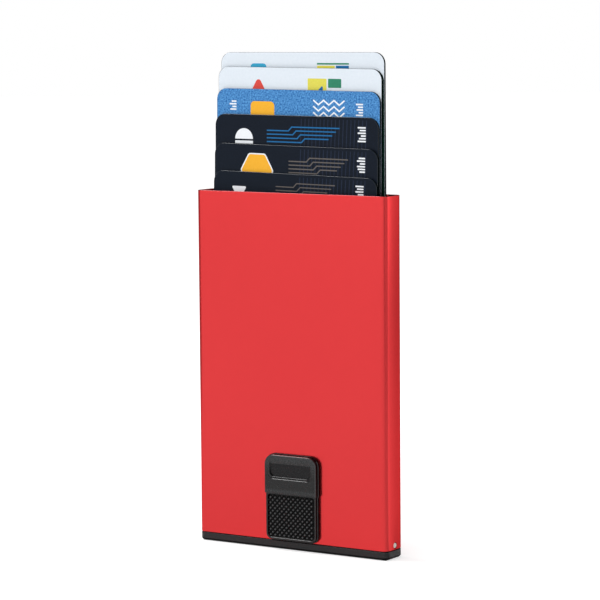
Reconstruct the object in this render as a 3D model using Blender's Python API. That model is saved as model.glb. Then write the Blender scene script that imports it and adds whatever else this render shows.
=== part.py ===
"""Pop up card holder: a slim metal case whose thumb button fans six cards out of its mouth.

Metres, +Z up. The case stands on its cap at z = 0, its front faces -Y and its mouth faces up.
"""
import math

import bmesh
import bpy
from mathutils import Vector

# The case: an extruded sleeve closed below by a moulded cap, built round the cards and what lifts them
CASE_CORNER = 0.0018
WALL = 0.0009
INNER_CORNER = 0.0004
EDGE_BREAK = 0.00015
CAP_HEIGHT = 0.0024
CAP_FOOT_BEVEL = 0.0005
SOLE_RISE = 0.00025
SOLE_INSET = 0.0009
PLUG_RISE = 0.0034
SEAM = 0.0002
PLUG_CLEARANCE = 0.0002

# The two pins that lock the cap's plug in the sleeve
LOCK_PIN_DIAMETER = 0.0016
LOCK_PIN_LENGTH = 0.0040
LOCK_PIN_RISE = 0.0014
LOCK_PIN_SINK = 0.00005
HOLE_CLEARANCE = 0.0001

# The cards, of the usual bank card size, fanned out of the mouth
CARD_WIDTH = 0.05398
CARD_HEIGHT = 0.0856
CARD_THICKNESS = 0.00076
CARD_CORNER = 0.00318
CARD_GAP = 0.0001
CARD_SINK = 0.0015
SIDE_PLAY = 0.00141
FRONT_PLAY = 0.00033
BACK_PLAY = 0.00054
FAN_SHARES = (1.0, 0.890, 0.733, 0.549, 0.333, 0.133)
CARD_TILTS_DEG = (0.15, -0.5, -0.6, -0.5, -0.9, -1.1)
LEAN_SHARE = 0.45

# The guide rails at the two narrow sides of the pocket, with a channel outside them for the spring
RAIL_WEB = 0.0004
RAIL_FLANGE_DEPTH = 0.0019
RAIL_FRONT_GAP = 0.00025
RAIL_SEAT = 0.0002
RAIL_LIFT = 0.0006
RAIL_TOP_DROP = 0.0030
SPRING_CHANNEL = 0.0018

# The lift lever, its cam slot and its pivot
PIVOT_INSET = 0.00159
PIVOT_PIN_DIAMETER = 0.0020
PIVOT_CLEARANCE = 0.00015
HUB_RADIUS = 0.0026
HUB_LIP = 0.0001
FOOT_GAP = 0.0003
CAM_LEAD = math.radians(1.87)
LIFT_CLEARANCE = 0.0004
LEVER_TOP = 0.0046
LEVER_END_GAP = 0.00184
REST_GAP = 0.0005
STAIR_START = 0.0045
NECK_TOP = 0.0020
FLANGE_THICKNESS = 0.0005
FLANGE_END = 0.00145
FLANGE_RIM = 0.0007
FLANGE_GAP = 0.00012
FRONT_EAR_SETBACK = 0.00025
BACK_EAR_THICKNESS = 0.0008
BACK_EAR_SETBACK = 0.0003

# The slider: the outer button, its grip pad, and the carrier plate behind the front wall
SLIDER_TRAVEL = 0.0160
SLIDER_MIDDLE = 0.0009
BUTTON_WIDTH = 0.01755
BUTTON_LIFT = 0.0007
BUTTON_REST_HEIGHT = 0.0142
BUTTON_HEAD_PROUD = 0.0019
BUTTON_REST_PROUD = 0.0015
BUTTON_HEAD_CORNER = 0.0030
BUTTON_FOOT_CORNER = 0.0020
BUTTON_SIDE_STEP = 0.00025
BUTTON_EDGE = 0.00025
SLIDE_CLEARANCE = 0.00015
SCOOP_WIDTH = 0.0134
SCOOP_HEIGHT = 0.0037
SCOOP_DROP = 0.0021
SCOOP_DEPTH = 0.0006
RIM_WIDTH = 0.0008
PAD_RECESS = 0.0008
PAD_SEAT = 0.0001
PAD_BASE = 0.0003
KNURL_HEIGHT = 0.00035
KNURL_HALF_PITCH = 0.00076
STEM_WIDTH = 0.0026
STEM_END = 0.0012
STEM_DROP = 0.0001
SLOT_CLEARANCE = 0.0003
SLOT_COVER = 0.0004
CARRIER_THICKNESS = 0.00045
CARRIER_SETBACK = 0.0002
CARRIER_BRIM = 0.0009
CARRIER_ARM = 0.0024
CARRIER_LEFT_MARGIN = 0.0022
CARRIER_RIGHT_MARGIN = 0.0035
FINGER_WIDTH = 0.0013
FINGER_HEIGHT = 0.0179
FINGER_TAB = 0.0007
DRIVE_PIN_OFFSET = 0.0143
DRIVE_PIN_DIAMETER = 0.0016
CAM_CLEARANCE = 0.00015
CAM_STEPS = 48
SLOT_STEPS = 24
RIVET_SHANK = 0.0010
RIVET_HEAD = 0.0022
RIVET_HEAD_THICKNESS = 0.0004
RIVET_DEPTH = 0.0012
RIVET_GAP = 0.0004

# The return spring in the right hand rail
SPRING_DIAMETER = 0.0014
SPRING_WIRE = 0.00022
SPRING_TURNS = 22
SPRING_POINTS_PER_TURN = 10
SPRING_TAIL = 0.0010
SPRING_ANCHOR_FLOOR = 0.0002
SPRING_END_GAP = 0.0004
SPRING_BEND_SHARE = 0.55

# The bowed leaf in front of the cards and the two felt strips behind them
LEAF_WIDTH = 0.0240
LEAF_LENGTH = 0.0440
LEAF_TOP_DROP = 0.0090
LEAF_THICKNESS = 0.0002
LEAF_SEAT = 0.00015
LEAF_CARD_GAP = 0.00025
LEAF_STEPS = 16
FELT_WIDTH = 0.0080
FELT_LENGTH = 0.0400
FELT_TOP_DROP = 0.0090
FELT_THICKNESS = 0.0003
FELT_SEAT = 0.00012
FELT_INSET = 0.01199

# How finely round things are drawn, and how far a cutter runs past what it cuts
CORNER_STEPS = 8
CAP_FOOT_STEPS = 3
ROUND_STEPS = 28
CUT_OVERRUN = 0.0010
SMOOTH_ANGLE = math.radians(35.0)

# Across: the pocket is a card and its play, then come the rails, the spring's channel and the walls
RAIL_HALF_SPACE = CARD_WIDTH / 2 + SIDE_PLAY
SIDE_INNER = RAIL_HALF_SPACE + RAIL_WEB + SPRING_CHANNEL
CASE_WIDTH = (SIDE_INNER + WALL) * 2

# From front to back: the wall, the carrier, the lever's flange, the stack of cards and the back wall
CARD_COUNT = len(FAN_SHARES)
CARD_PITCH = CARD_THICKNESS + CARD_GAP
STACK_DEPTH = CARD_PITCH * CARD_COUNT - CARD_GAP
WORKS_DEPTH = CARRIER_SETBACK + CARRIER_THICKNESS + FLANGE_GAP + FLANGE_THICKNESS
STACK_SETBACK = WALL + WORKS_DEPTH + FRONT_PLAY
CASE_DEPTH = STACK_SETBACK + STACK_DEPTH + BACK_PLAY + WALL
FRONT = -CASE_DEPTH / 2
FRONT_INNER = FRONT + WALL
BACK_INNER = CASE_DEPTH / 2 - WALL
CARRIER_FRONT = FRONT_INNER + CARRIER_SETBACK
CARRIER_BACK = CARRIER_FRONT + CARRIER_THICKNESS
FLANGE_FRONT = CARRIER_BACK + FLANGE_GAP
FLANGE_BACK = FLANGE_FRONT + FLANGE_THICKNESS
STACK_FRONT = FRONT + STACK_SETBACK
STACK_BACK = STACK_FRONT + STACK_DEPTH

# Upward: the cap's plug, the lever at rest, a pushed in card standing on it, and the mouth above that
PLUG_TOP = CAP_HEIGHT + PLUG_RISE
LOCK_PIN_HEIGHT = CAP_HEIGHT + LOCK_PIN_RISE
LEVER_FOOT = HUB_RADIUS + HUB_LIP
PIVOT_HEIGHT = PLUG_TOP + LEVER_FOOT + FOOT_GAP
PIVOT_FROM_MIDDLE = CARD_WIDTH / 2 - PIVOT_INSET
PIVOT = Vector((-PIVOT_FROM_MIDDLE, 0, PIVOT_HEIGHT))
PUSHED_IN = PIVOT_HEIGHT + LEVER_TOP + REST_GAP
CASE_HEIGHT = PUSHED_IN + CARD_HEIGHT + CARD_SINK

# The slider's heights: the head covers the slot that the stem travels in
RIVET_SPACING = RIVET_HEAD + RIVET_GAP
STEM_HEIGHT = RIVET_SPACING + STEM_END * 2
CARRIER_BOTTOM = PLUG_TOP + FOOT_GAP
STEM_BOTTOM = CARRIER_BOTTOM - STEM_DROP
STEM_TOP = STEM_BOTTOM + STEM_HEIGHT
CARRIER_TOP = STEM_TOP + CARRIER_BRIM
FINGER_TOP = CARRIER_BOTTOM + FINGER_HEIGHT
SLOT_TOP = STEM_TOP + SLIDER_TRAVEL + SLOT_CLEARANCE
BUTTON_BOTTOM = CAP_HEIGHT + BUTTON_LIFT
BUTTON_LEDGE = BUTTON_BOTTOM + BUTTON_REST_HEIGHT
BUTTON_TOP = SLOT_TOP + SLOT_COVER
SCOOP_TOP = BUTTON_TOP - SCOOP_DROP
SCOOP_BOTTOM = SCOOP_TOP - SCOOP_HEIGHT

# The lever's turn follows from the drive pin's place and travel, and the fan from the lever's length
DRIVE_PIN_REACH = SLIDER_MIDDLE - DRIVE_PIN_OFFSET + PIVOT_FROM_MIDDLE
CAM_HALF = DRIVE_PIN_DIAMETER / 2 + CAM_CLEARANCE
LIFT_ANGLE = math.atan2(SLIDER_TRAVEL, DRIVE_PIN_REACH) + CAM_LEAD
FLANGE_LENGTH = math.hypot(DRIVE_PIN_REACH, SLIDER_TRAVEL) + CAM_HALF + FLANGE_END
LEVER_REACH = PIVOT_FROM_MIDDLE + RAIL_HALF_SPACE - LEVER_END_GAP
LIFTED = LEVER_REACH * math.sin(LIFT_ANGLE) + LEVER_TOP * math.cos(LIFT_ANGLE)
FAN_REACH = PIVOT_HEIGHT + LIFTED + LIFT_CLEARANCE + CARD_HEIGHT - CASE_HEIGHT

# Other places that follow from the sizes above
FRONT_EAR_FRONT = FRONT_INNER + FRONT_EAR_SETBACK
BACK_EAR_BACK = BACK_INNER - BACK_EAR_SETBACK
BACK_EAR_FRONT = BACK_EAR_BACK - BACK_EAR_THICKNESS
HUB_BACK = BACK_EAR_FRONT - BACK_EAR_SETBACK
BUTTON_BACK = FRONT - SLIDE_CLEARANCE
STEM_BACK = CARRIER_FRONT - HOLE_CLEARANCE
SPRING_MIDDLE = (RAIL_HALF_SPACE + RAIL_WEB + SIDE_INNER) / 2
SPRING_FOOT = LOCK_PIN_HEIGHT + LOCK_PIN_DIAMETER / 2 + HOLE_CLEARANCE + SPRING_ANCHOR_FLOOR
LEAF_BOW = STACK_FRONT - FRONT_INNER - LEAF_SEAT - LEAF_THICKNESS - LEAF_CARD_GAP


def clear_scene():
    for old in list(bpy.data.objects):
        bpy.data.objects.remove(old, do_unlink=True)


def finish_material(name, colour, roughness, metallic):
    """A Principled material in one plain colour."""
    made = bpy.data.materials.new(name)
    made.use_nodes = True
    shader = made.node_tree.nodes["Principled BSDF"]
    shader.inputs["Base Color"].default_value = (*colour, 1.0)
    shader.inputs["Roughness"].default_value = roughness
    shader.inputs["Metallic"].default_value = metallic
    return made


def frame_empty(name, place):
    """An empty that a moving group hangs on, set on its joint's axis."""
    empty = bpy.data.objects.new(name, None)
    empty.location = place
    bpy.context.scene.collection.objects.link(empty)
    return empty


def piece(name, shape, finish, parent=None):
    """Turns a bmesh drawn in world places into a named object, hung on its parent empty."""
    mesh = bpy.data.meshes.new(name)
    bmesh.ops.recalc_face_normals(shape, faces=shape.faces)
    shape.to_mesh(mesh)
    shape.free()
    mesh.shade_smooth()
    mesh.set_sharp_from_angle(angle=SMOOTH_ANGLE)
    made = bpy.data.objects.new(name, mesh)
    bpy.context.scene.collection.objects.link(made)
    if finish:
        made.data.materials.append(finish)
    if parent:
        made.parent = parent
        made.location = -parent.location
    return made


def cutter(name, shape):
    """A hidden shape that another piece is cut by or joined with."""
    made = piece(name, shape, None)
    made.hide_render = True
    made.display_type = "WIRE"
    return made


def combine(target, tool, operation):
    step = target.modifiers.new(tool.name, "BOOLEAN")
    step.operation = operation
    step.solver = "EXACT"
    step.object = tool


def round_edges(target, width, steps=2):
    step = target.modifiers.new("round_edges", "BEVEL")
    step.width = width
    step.segments = steps
    step.limit_method = "ANGLE"
    step.angle_limit = SMOOTH_ANGLE


def arc(middle, radius, start, end, steps):
    """Points on a round arc, angles in radians, both ends included."""
    return [
        (
            middle[0] + radius * math.cos(start + (end - start) * n / steps),
            middle[1] + radius * math.sin(start + (end - start) * n / steps),
        )
        for n in range(steps + 1)
    ]


def rounded_box(left, right, low, high, top_corner, bottom_corner, steps=CORNER_STEPS):
    """An upright rectangle's outline whose top and bottom corners have their own radii."""
    quarter = math.pi / 2
    corners = (
        (right, high, -1, -1, top_corner, 0),
        (left, high, 1, -1, top_corner, 1),
        (left, low, 1, 1, bottom_corner, 2),
        (right, low, -1, 1, bottom_corner, 3),
    )
    points = []
    for x, z, inward_x, inward_z, radius, turn in corners:
        middle = (x + inward_x * radius, z + inward_z * radius)
        points += arc(middle, radius, turn * quarter, (turn + 1) * quarter, steps)
    return points


def plain_box(left, right, low, high):
    return [(right, high), (left, high), (left, low), (right, low)]


def disc(middle, radius, steps=ROUND_STEPS):
    return arc(middle, radius, 0, 2 * math.pi * (steps - 1) / steps, steps - 1)


def add_prism(shape, outline, low, high, axis):
    """Pushes an outline along an axis; the outline is (X, Y) for Z, (X, Z) for Y and (Y, Z) for X."""
    places = {
        "X": lambda a, b: (low, a, b),
        "Y": lambda a, b: (a, low, b),
        "Z": lambda a, b: (a, b, low),
    }
    pushes = {"X": (high - low, 0, 0), "Y": (0, high - low, 0), "Z": (0, 0, high - low)}
    face = shape.faces.new([shape.verts.new(places[axis](a, b)) for a, b in outline])
    grown = bmesh.ops.extrude_face_region(shape, geom=[face])["geom"]
    moved = [item for item in grown if isinstance(item, bmesh.types.BMVert)]
    bmesh.ops.translate(shape, verts=moved, vec=pushes[axis])


def prism(outline, low, high, axis):
    shape = bmesh.new()
    add_prism(shape, outline, low, high, axis)
    return shape


def case_outline(inset, corner):
    """The case's plan, drawn in by an even inset."""
    half_width = CASE_WIDTH / 2 - inset
    half_depth = CASE_DEPTH / 2 - inset
    return rounded_box(-half_width, half_width, -half_depth, half_depth, corner, corner)


def outer_sleeve(finish):
    """The extruded tube, slotted in front for the slider and drilled at both sides for the lock pins."""
    bottom = CAP_HEIGHT + SEAM
    sleeve = piece(
        "outer_sleeve", prism(case_outline(0, CASE_CORNER), bottom, CASE_HEIGHT, "Z"), finish
    )
    round_edges(sleeve, EDGE_BREAK, steps=1)
    hollow = prism(
        case_outline(WALL, INNER_CORNER),
        bottom - CUT_OVERRUN,
        CASE_HEIGHT + CUT_OVERRUN,
        "Z",
    )
    combine(sleeve, cutter("sleeve_hollow", hollow), "DIFFERENCE")
    slot_half = STEM_WIDTH / 2 + SLOT_CLEARANCE
    slot = rounded_box(
        SLIDER_MIDDLE - slot_half,
        SLIDER_MIDDLE + slot_half,
        STEM_BOTTOM - SLOT_CLEARANCE,
        SLOT_TOP,
        slot_half,
        slot_half,
        steps=6,
    )
    openings = prism(slot, FRONT - CUT_OVERRUN, FRONT_INNER + CUT_OVERRUN, "Y")
    hole = disc((0, LOCK_PIN_HEIGHT), LOCK_PIN_DIAMETER / 2 + HOLE_CLEARANCE)
    outside = CASE_WIDTH / 2 + CUT_OVERRUN
    inside = SIDE_INNER - CUT_OVERRUN
    add_prism(openings, hole, -outside, -inside, "X")
    add_prism(openings, hole, inside, outside, "X")
    combine(sleeve, cutter("sleeve_openings", openings), "DIFFERENCE")
    return sleeve


def ear_outline():
    """A bearing ear: a straight sided lug with a round top about the pivot."""
    x, z = PIVOT.x, PIVOT.z
    foot = PLUG_TOP - CUT_OVERRUN
    crown = arc((x, z), HUB_RADIUS, 0, math.pi, CORNER_STEPS * 2)
    return crown + [(x - HUB_RADIUS, foot), (x + HUB_RADIUS, foot)]


def add_loft(shape, rings):
    """Skins a row of level outlines, each (outline, height) with as many points, and closes both ends."""
    loops = [[shape.verts.new((x, y, z)) for x, y in outline] for outline, z in rings]
    for low, high in zip(loops, loops[1:]):
        for n in range(len(low)):
            m = (n + 1) % len(low)
            shape.faces.new((low[n], low[m], high[m], high[n]))
    shape.faces.new(list(reversed(loops[0])))
    shape.faces.new(loops[-1])


def bottom_cap(finish):
    """The moulded cap: a sole, a rim as wide as the case, a plug, and two ears for the lever's pin."""
    inset = WALL + PLUG_CLEARANCE
    plug = case_outline(inset, INNER_CORNER + PLUG_CLEARANCE)
    rings = []
    for n in range(CAP_FOOT_STEPS + 1):
        angle = math.pi / 2 * n / CAP_FOOT_STEPS
        drawn_in = CAP_FOOT_BEVEL * (1 - math.sin(angle))
        height = SOLE_RISE + CAP_FOOT_BEVEL * (1 - math.cos(angle))
        rings.append((case_outline(drawn_in, CASE_CORNER - drawn_in), height))
    rings.append((case_outline(0, CASE_CORNER), CAP_HEIGHT))
    rings.append((plug, CAP_HEIGHT))
    rings.append((plug, PLUG_TOP))
    shape = bmesh.new()
    add_loft(shape, rings)
    cap = piece("bottom_cap", shape, finish)
    half_width = CASE_WIDTH / 2 - SOLE_INSET
    half_depth = CASE_DEPTH / 2 - SOLE_INSET
    sole = plain_box(-half_width, half_width, -half_depth, half_depth)
    sole_tool = cutter("cap_sole", prism(sole, 0, SOLE_RISE + CAP_FOOT_BEVEL, "Z"))
    combine(cap, sole_tool, "UNION")
    front_ear = prism(ear_outline(), FRONT_EAR_FRONT, CARRIER_BACK, "Y")
    combine(cap, cutter("cap_front_ear", front_ear), "UNION")
    back_ear = prism(ear_outline(), BACK_EAR_FRONT, BACK_EAR_BACK, "Y")
    combine(cap, cutter("cap_back_ear", back_ear), "UNION")
    bore = disc((PIVOT.x, PIVOT.z), PIVOT_PIN_DIAMETER / 2 + HOLE_CLEARANCE)
    holes = prism(bore, FRONT_INNER - CUT_OVERRUN, BACK_INNER + CUT_OVERRUN, "Y")
    pin_hole = disc((0, LOCK_PIN_HEIGHT), LOCK_PIN_DIAMETER / 2 + HOLE_CLEARANCE)
    outside = CASE_WIDTH / 2 + CUT_OVERRUN
    blind = CASE_WIDTH / 2 - LOCK_PIN_SINK - LOCK_PIN_LENGTH - PLUG_CLEARANCE
    add_prism(holes, pin_hole, -outside, -blind, "X")
    add_prism(holes, pin_hole, blind, outside, "X")
    anchor = disc((SPRING_MIDDLE, 0), SPRING_WIRE / 2 + HOLE_CLEARANCE, steps=12)
    add_prism(holes, anchor, SPRING_FOOT - HOLE_CLEARANCE, PLUG_TOP + CUT_OVERRUN, "Z")
    combine(cap, cutter("cap_holes", holes), "DIFFERENCE")
    return cap


def lock_pin(name, side, finish):
    """One steel pin, pressed in from a narrow side, its end just under the sleeve's face."""
    outer = side * (CASE_WIDTH / 2 - LOCK_PIN_SINK)
    inner = outer - side * LOCK_PIN_LENGTH
    outline = disc((0, LOCK_PIN_HEIGHT), LOCK_PIN_DIAMETER / 2)
    pin = piece(name, prism(outline, inner, outer, "X"), finish)
    round_edges(pin, EDGE_BREAK)
    return pin


def guide_rail(name, side, finish):
    """An L shaped strip that keeps the cards to the middle of the sleeve."""
    web_in = side * RAIL_HALF_SPACE
    web_out = side * (RAIL_HALF_SPACE + RAIL_WEB)
    wall_side = side * (SIDE_INNER - RAIL_SEAT)
    back = BACK_INNER - RAIL_SEAT
    front = CARRIER_BACK + RAIL_FRONT_GAP
    flange_front = back - RAIL_FLANGE_DEPTH
    corner = side * (INNER_CORNER + RAIL_SEAT)
    outline = [
        (web_in, front),
        (web_out, front),
        (web_out, flange_front),
        (wall_side, flange_front),
        (wall_side, back - abs(corner)),
        (wall_side - corner, back),
        (web_in, back),
    ]
    low = PIVOT_HEIGHT + LEVER_TOP + RAIL_LIFT
    return piece(name, prism(outline, low, CASE_HEIGHT - RAIL_TOP_DROP, "Z"), finish)


def card_front(number):
    """The front face of a card; card 1 is at the back of the stack."""
    return STACK_FRONT + CARD_PITCH * (CARD_COUNT - number)


def card_bottom(number):
    return CASE_HEIGHT + FAN_REACH * FAN_SHARES[number - 1] - CARD_HEIGHT


def card(number, finish):
    """A bank card sized card on its own slide, leaning a little in the play between the rails."""
    tilt = math.radians(CARD_TILTS_DEG[number - 1])
    middle = Vector(
        (
            CARD_HEIGHT / 2 * math.sin(tilt) * LEAN_SHARE,
            card_front(number),
            card_bottom(number) + CARD_HEIGHT / 2,
        )
    )
    slide = frame_empty(f"card_{number}_slide", middle)
    half_width = CARD_WIDTH / 2
    half_height = CARD_HEIGHT / 2
    outline = rounded_box(
        -half_width, half_width, -half_height, half_height, CARD_CORNER, CARD_CORNER, steps=6
    )
    made = piece(f"card_{number}", prism(outline, 0, CARD_THICKNESS, "Y"), finish)
    made.parent = slide
    made.rotation_euler = (0, -tilt, 0)
    return made


def stair_reach(number):
    """How far from the pivot a step must reach to lift its card to the fanned place."""
    wanted = card_bottom(number) - LIFT_CLEARANCE - PIVOT.z
    return (wanted - LEVER_TOP * math.cos(LIFT_ANGLE)) / math.sin(LIFT_ANGLE)


def stair_plan():
    """The stepped bar seen from above: the back card's step is the longest."""
    start = PIVOT.x + STAIR_START
    points = [(start, FLANGE_FRONT + FLANGE_THICKNESS / 2)]
    for number in range(CARD_COUNT, 0, -1):
        tip = PIVOT.x + stair_reach(number)
        points.append((tip, points[-1][1]))
        last = number == 1
        boundary = STACK_BACK if last else card_front(number - 1) - CARD_GAP / 2
        points.append((tip, boundary))
    points.append((start, STACK_BACK))
    return points


def cam_path():
    """Where the drive pin lies in the lever as the slider rises at an even rate to the lever's turn."""
    points = []
    for n in range(CAM_STEPS + 1):
        rise = SLIDER_TRAVEL * n / CAM_STEPS
        reach = math.hypot(DRIVE_PIN_REACH, rise)
        angle = math.atan2(rise, DRIVE_PIN_REACH) - LIFT_ANGLE * n / CAM_STEPS
        points.append(Vector((reach * math.cos(angle), reach * math.sin(angle))))
    return points


def cam_outline():
    """The cam slot: the upper and lower edge of all that the pin with its play sweeps in the lever."""
    path = cam_path()
    near = min(place.x for place in path) - CAM_HALF
    far = max(place.x for place in path) + CAM_HALF
    above, below = [], []
    for n in range(1, SLOT_STEPS):
        x = near + (far - near) * (1 - math.cos(math.pi * n / SLOT_STEPS)) / 2
        spans = [
            (place.y, math.sqrt(CAM_HALF**2 - (x - place.x) ** 2))
            for place in path
            if abs(x - place.x) < CAM_HALF
        ]
        above.append((PIVOT.x + x, PIVOT.z + max(y + half for y, half in spans)))
        below.append((PIVOT.x + x, PIVOT.z + min(y - half for y, half in spans)))
    first = (PIVOT.x + near, PIVOT.z + path[0].y)
    last = (PIVOT.x + far, PIVOT.z + path[-1].y)
    return [first, *below, last, *reversed(above)]


def lift_lever(finish, parent):
    """The moulded lever: a hub, a flange with the cam slot, and six steps that push the cards."""
    x, z = PIVOT.x, PIVOT.z
    hub = prism(disc((x, z), HUB_RADIUS), FLANGE_FRONT, HUB_BACK, "Y")
    lever = piece("lift_lever", hub, finish, parent)
    stair = prism(stair_plan(), z - LEVER_FOOT, z + LEVER_TOP, "Z")
    combine(lever, cutter("lever_stair", stair), "UNION")
    neck_foot = z - LEVER_FOOT + HOLE_CLEARANCE * 2
    neck = plain_box(x, x + STAIR_START + CUT_OVERRUN, neck_foot, z + NECK_TOP)
    inner = FLANGE_FRONT + FLANGE_THICKNESS / 2
    combine(lever, cutter("lever_neck", prism(neck, inner, HUB_BACK - HOLE_CLEARANCE, "Y")), "UNION")
    top = max(place.y for place in cam_path()) + CAM_HALF + FLANGE_RIM
    corner = (top + LEVER_FOOT) / 4
    flange = rounded_box(
        x, x + FLANGE_LENGTH, z - LEVER_FOOT + HOLE_CLEARANCE, z + top, corner, corner
    )
    combine(lever, cutter("lever_flange", prism(flange, FLANGE_FRONT, FLANGE_BACK, "Y")), "UNION")
    holes = prism(
        disc((x, z), PIVOT_PIN_DIAMETER / 2 + PIVOT_CLEARANCE),
        FLANGE_FRONT - CUT_OVERRUN,
        HUB_BACK + CUT_OVERRUN,
        "Y",
    )
    add_prism(holes, cam_outline(), FLANGE_FRONT - CUT_OVERRUN, STACK_FRONT, "Y")
    combine(lever, cutter("lever_holes", holes), "DIFFERENCE")
    return lever


def pivot_pin(finish):
    """The steel pin through both ears and the lever's hub."""
    outline = disc((PIVOT.x, PIVOT.z), PIVOT_PIN_DIAMETER / 2)
    pin = piece("pivot_pin", prism(outline, FRONT_EAR_FRONT, BACK_EAR_BACK, "Y"), finish)
    round_edges(pin, EDGE_BREAK)
    return pin


def button_outline(narrowing, low, high, top_corner, bottom_corner):
    half = BUTTON_WIDTH / 2 - narrowing
    return rounded_box(
        SLIDER_MIDDLE - half, SLIDER_MIDDLE + half, low, high, top_corner, bottom_corner
    )


def rivet_heights():
    middle = STEM_BOTTOM + STEM_HEIGHT / 2
    return (middle - RIVET_SPACING / 2, middle + RIVET_SPACING / 2)


def pad_outline(inset):
    """The seat of the grip pad inside the button's rim."""
    corner = BUTTON_FOOT_CORNER - RIM_WIDTH
    half = BUTTON_WIDTH / 2 - BUTTON_SIDE_STEP - RIM_WIDTH - inset
    return rounded_box(
        SLIDER_MIDDLE - half,
        SLIDER_MIDDLE + half,
        BUTTON_BOTTOM + RIM_WIDTH + inset,
        BUTTON_LEDGE - RIM_WIDTH / 2 - inset,
        corner / 2 - inset,
        corner - inset,
    )


def slider_button(finish, parent):
    """The thumb button: a raised head over a rimmed seat for the grip pad, with a stem through the slot."""
    head_front = FRONT - BUTTON_HEAD_PROUD
    rest_front = FRONT - BUTTON_REST_PROUD
    head = button_outline(0, BUTTON_LEDGE, BUTTON_TOP, BUTTON_HEAD_CORNER, BUTTON_EDGE * 2)
    button = piece("slider_button", prism(head, head_front, BUTTON_BACK, "Y"), finish, parent)
    round_edges(button, BUTTON_EDGE)
    overlap = BUTTON_LEDGE + BUTTON_EDGE * 2
    rest = button_outline(
        BUTTON_SIDE_STEP, BUTTON_BOTTOM, overlap, BUTTON_EDGE, BUTTON_FOOT_CORNER
    )
    rest_shape = prism(rest, rest_front, BUTTON_BACK - BUTTON_EDGE, "Y")
    rest_tool = cutter("button_rest", rest_shape)
    round_edges(rest_tool, BUTTON_EDGE / 2)
    combine(button, rest_tool, "UNION")
    half = STEM_WIDTH / 2
    stem = rounded_box(
        SLIDER_MIDDLE - half, SLIDER_MIDDLE + half, STEM_BOTTOM, STEM_BOTTOM + STEM_HEIGHT, half, half
    )
    stem_tool = cutter("button_stem", prism(stem, BUTTON_BACK - BUTTON_EDGE * 2, STEM_BACK, "Y"))
    combine(button, stem_tool, "UNION")
    seat = prism(pad_outline(0), rest_front - CUT_OVERRUN, rest_front + PAD_RECESS, "Y")
    combine(button, cutter("button_seat", seat), "DIFFERENCE")
    scoop_section = [
        (head_front - CUT_OVERRUN, SCOOP_TOP),
        (head_front, SCOOP_TOP),
        (head_front + SCOOP_DEPTH, SCOOP_BOTTOM),
        (head_front - CUT_OVERRUN, SCOOP_BOTTOM),
    ]
    half_scoop = SCOOP_WIDTH / 2
    scoop = prism(scoop_section, SLIDER_MIDDLE - half_scoop, SLIDER_MIDDLE + half_scoop, "X")
    combine(button, cutter("button_scoop", scoop), "DIFFERENCE")
    holes = bmesh.new()
    for height in rivet_heights():
        hole = disc((SLIDER_MIDDLE, height), RIVET_SHANK / 2 + HOLE_CLEARANCE, steps=16)
        add_prism(holes, hole, STEM_BACK - RIVET_DEPTH - HOLE_CLEARANCE, STEM_BACK + CUT_OVERRUN, "Y")
    combine(button, cutter("button_rivet_holes", holes), "DIFFERENCE")
    return button


def grip_pad(finish, parent):
    """The rubber pad, knurled in diamonds, set in the button's rim."""
    floor = FRONT - BUTTON_REST_PROUD + PAD_RECESS - PAD_SEAT
    valley = floor - PAD_BASE
    half_width = BUTTON_WIDTH / 2
    columns = math.ceil(BUTTON_WIDTH / KNURL_HALF_PITCH)
    rows = math.ceil((BUTTON_LEDGE - BUTTON_BOTTOM) / KNURL_HALF_PITCH)
    shape = bmesh.new()
    grid = []
    for j in range(rows + 1):
        line = []
        for i in range(columns + 1):
            peak = (i + j) % 2
            x = SLIDER_MIDDLE - half_width + i * KNURL_HALF_PITCH
            z = BUTTON_BOTTOM + j * KNURL_HALF_PITCH
            line.append(shape.verts.new((x, valley - peak * KNURL_HEIGHT, z)))
        grid.append(line)
    for j in range(rows):
        for i in range(columns):
            a, b = grid[j][i], grid[j][i + 1]
            c, d = grid[j + 1][i + 1], grid[j + 1][i]
            if (i + j) % 2:
                shape.faces.new((a, b, d))
                shape.faces.new((b, c, d))
            else:
                shape.faces.new((a, b, c))
                shape.faces.new((a, c, d))
    skirt = bmesh.ops.extrude_face_region(shape, geom=list(shape.faces))["geom"]
    for item in skirt:
        if isinstance(item, bmesh.types.BMVert):
            item.co.y = floor
    pad = piece("grip_pad", shape, finish, parent)
    trim = prism(pad_outline(PAD_SEAT), valley - KNURL_HEIGHT - CUT_OVERRUN, floor + CUT_OVERRUN, "Y")
    combine(pad, cutter("pad_trim", trim), "INTERSECT")
    return pad


def drive_pin_place():
    return (PIVOT.x + DRIVE_PIN_REACH, PIVOT.z)


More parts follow.
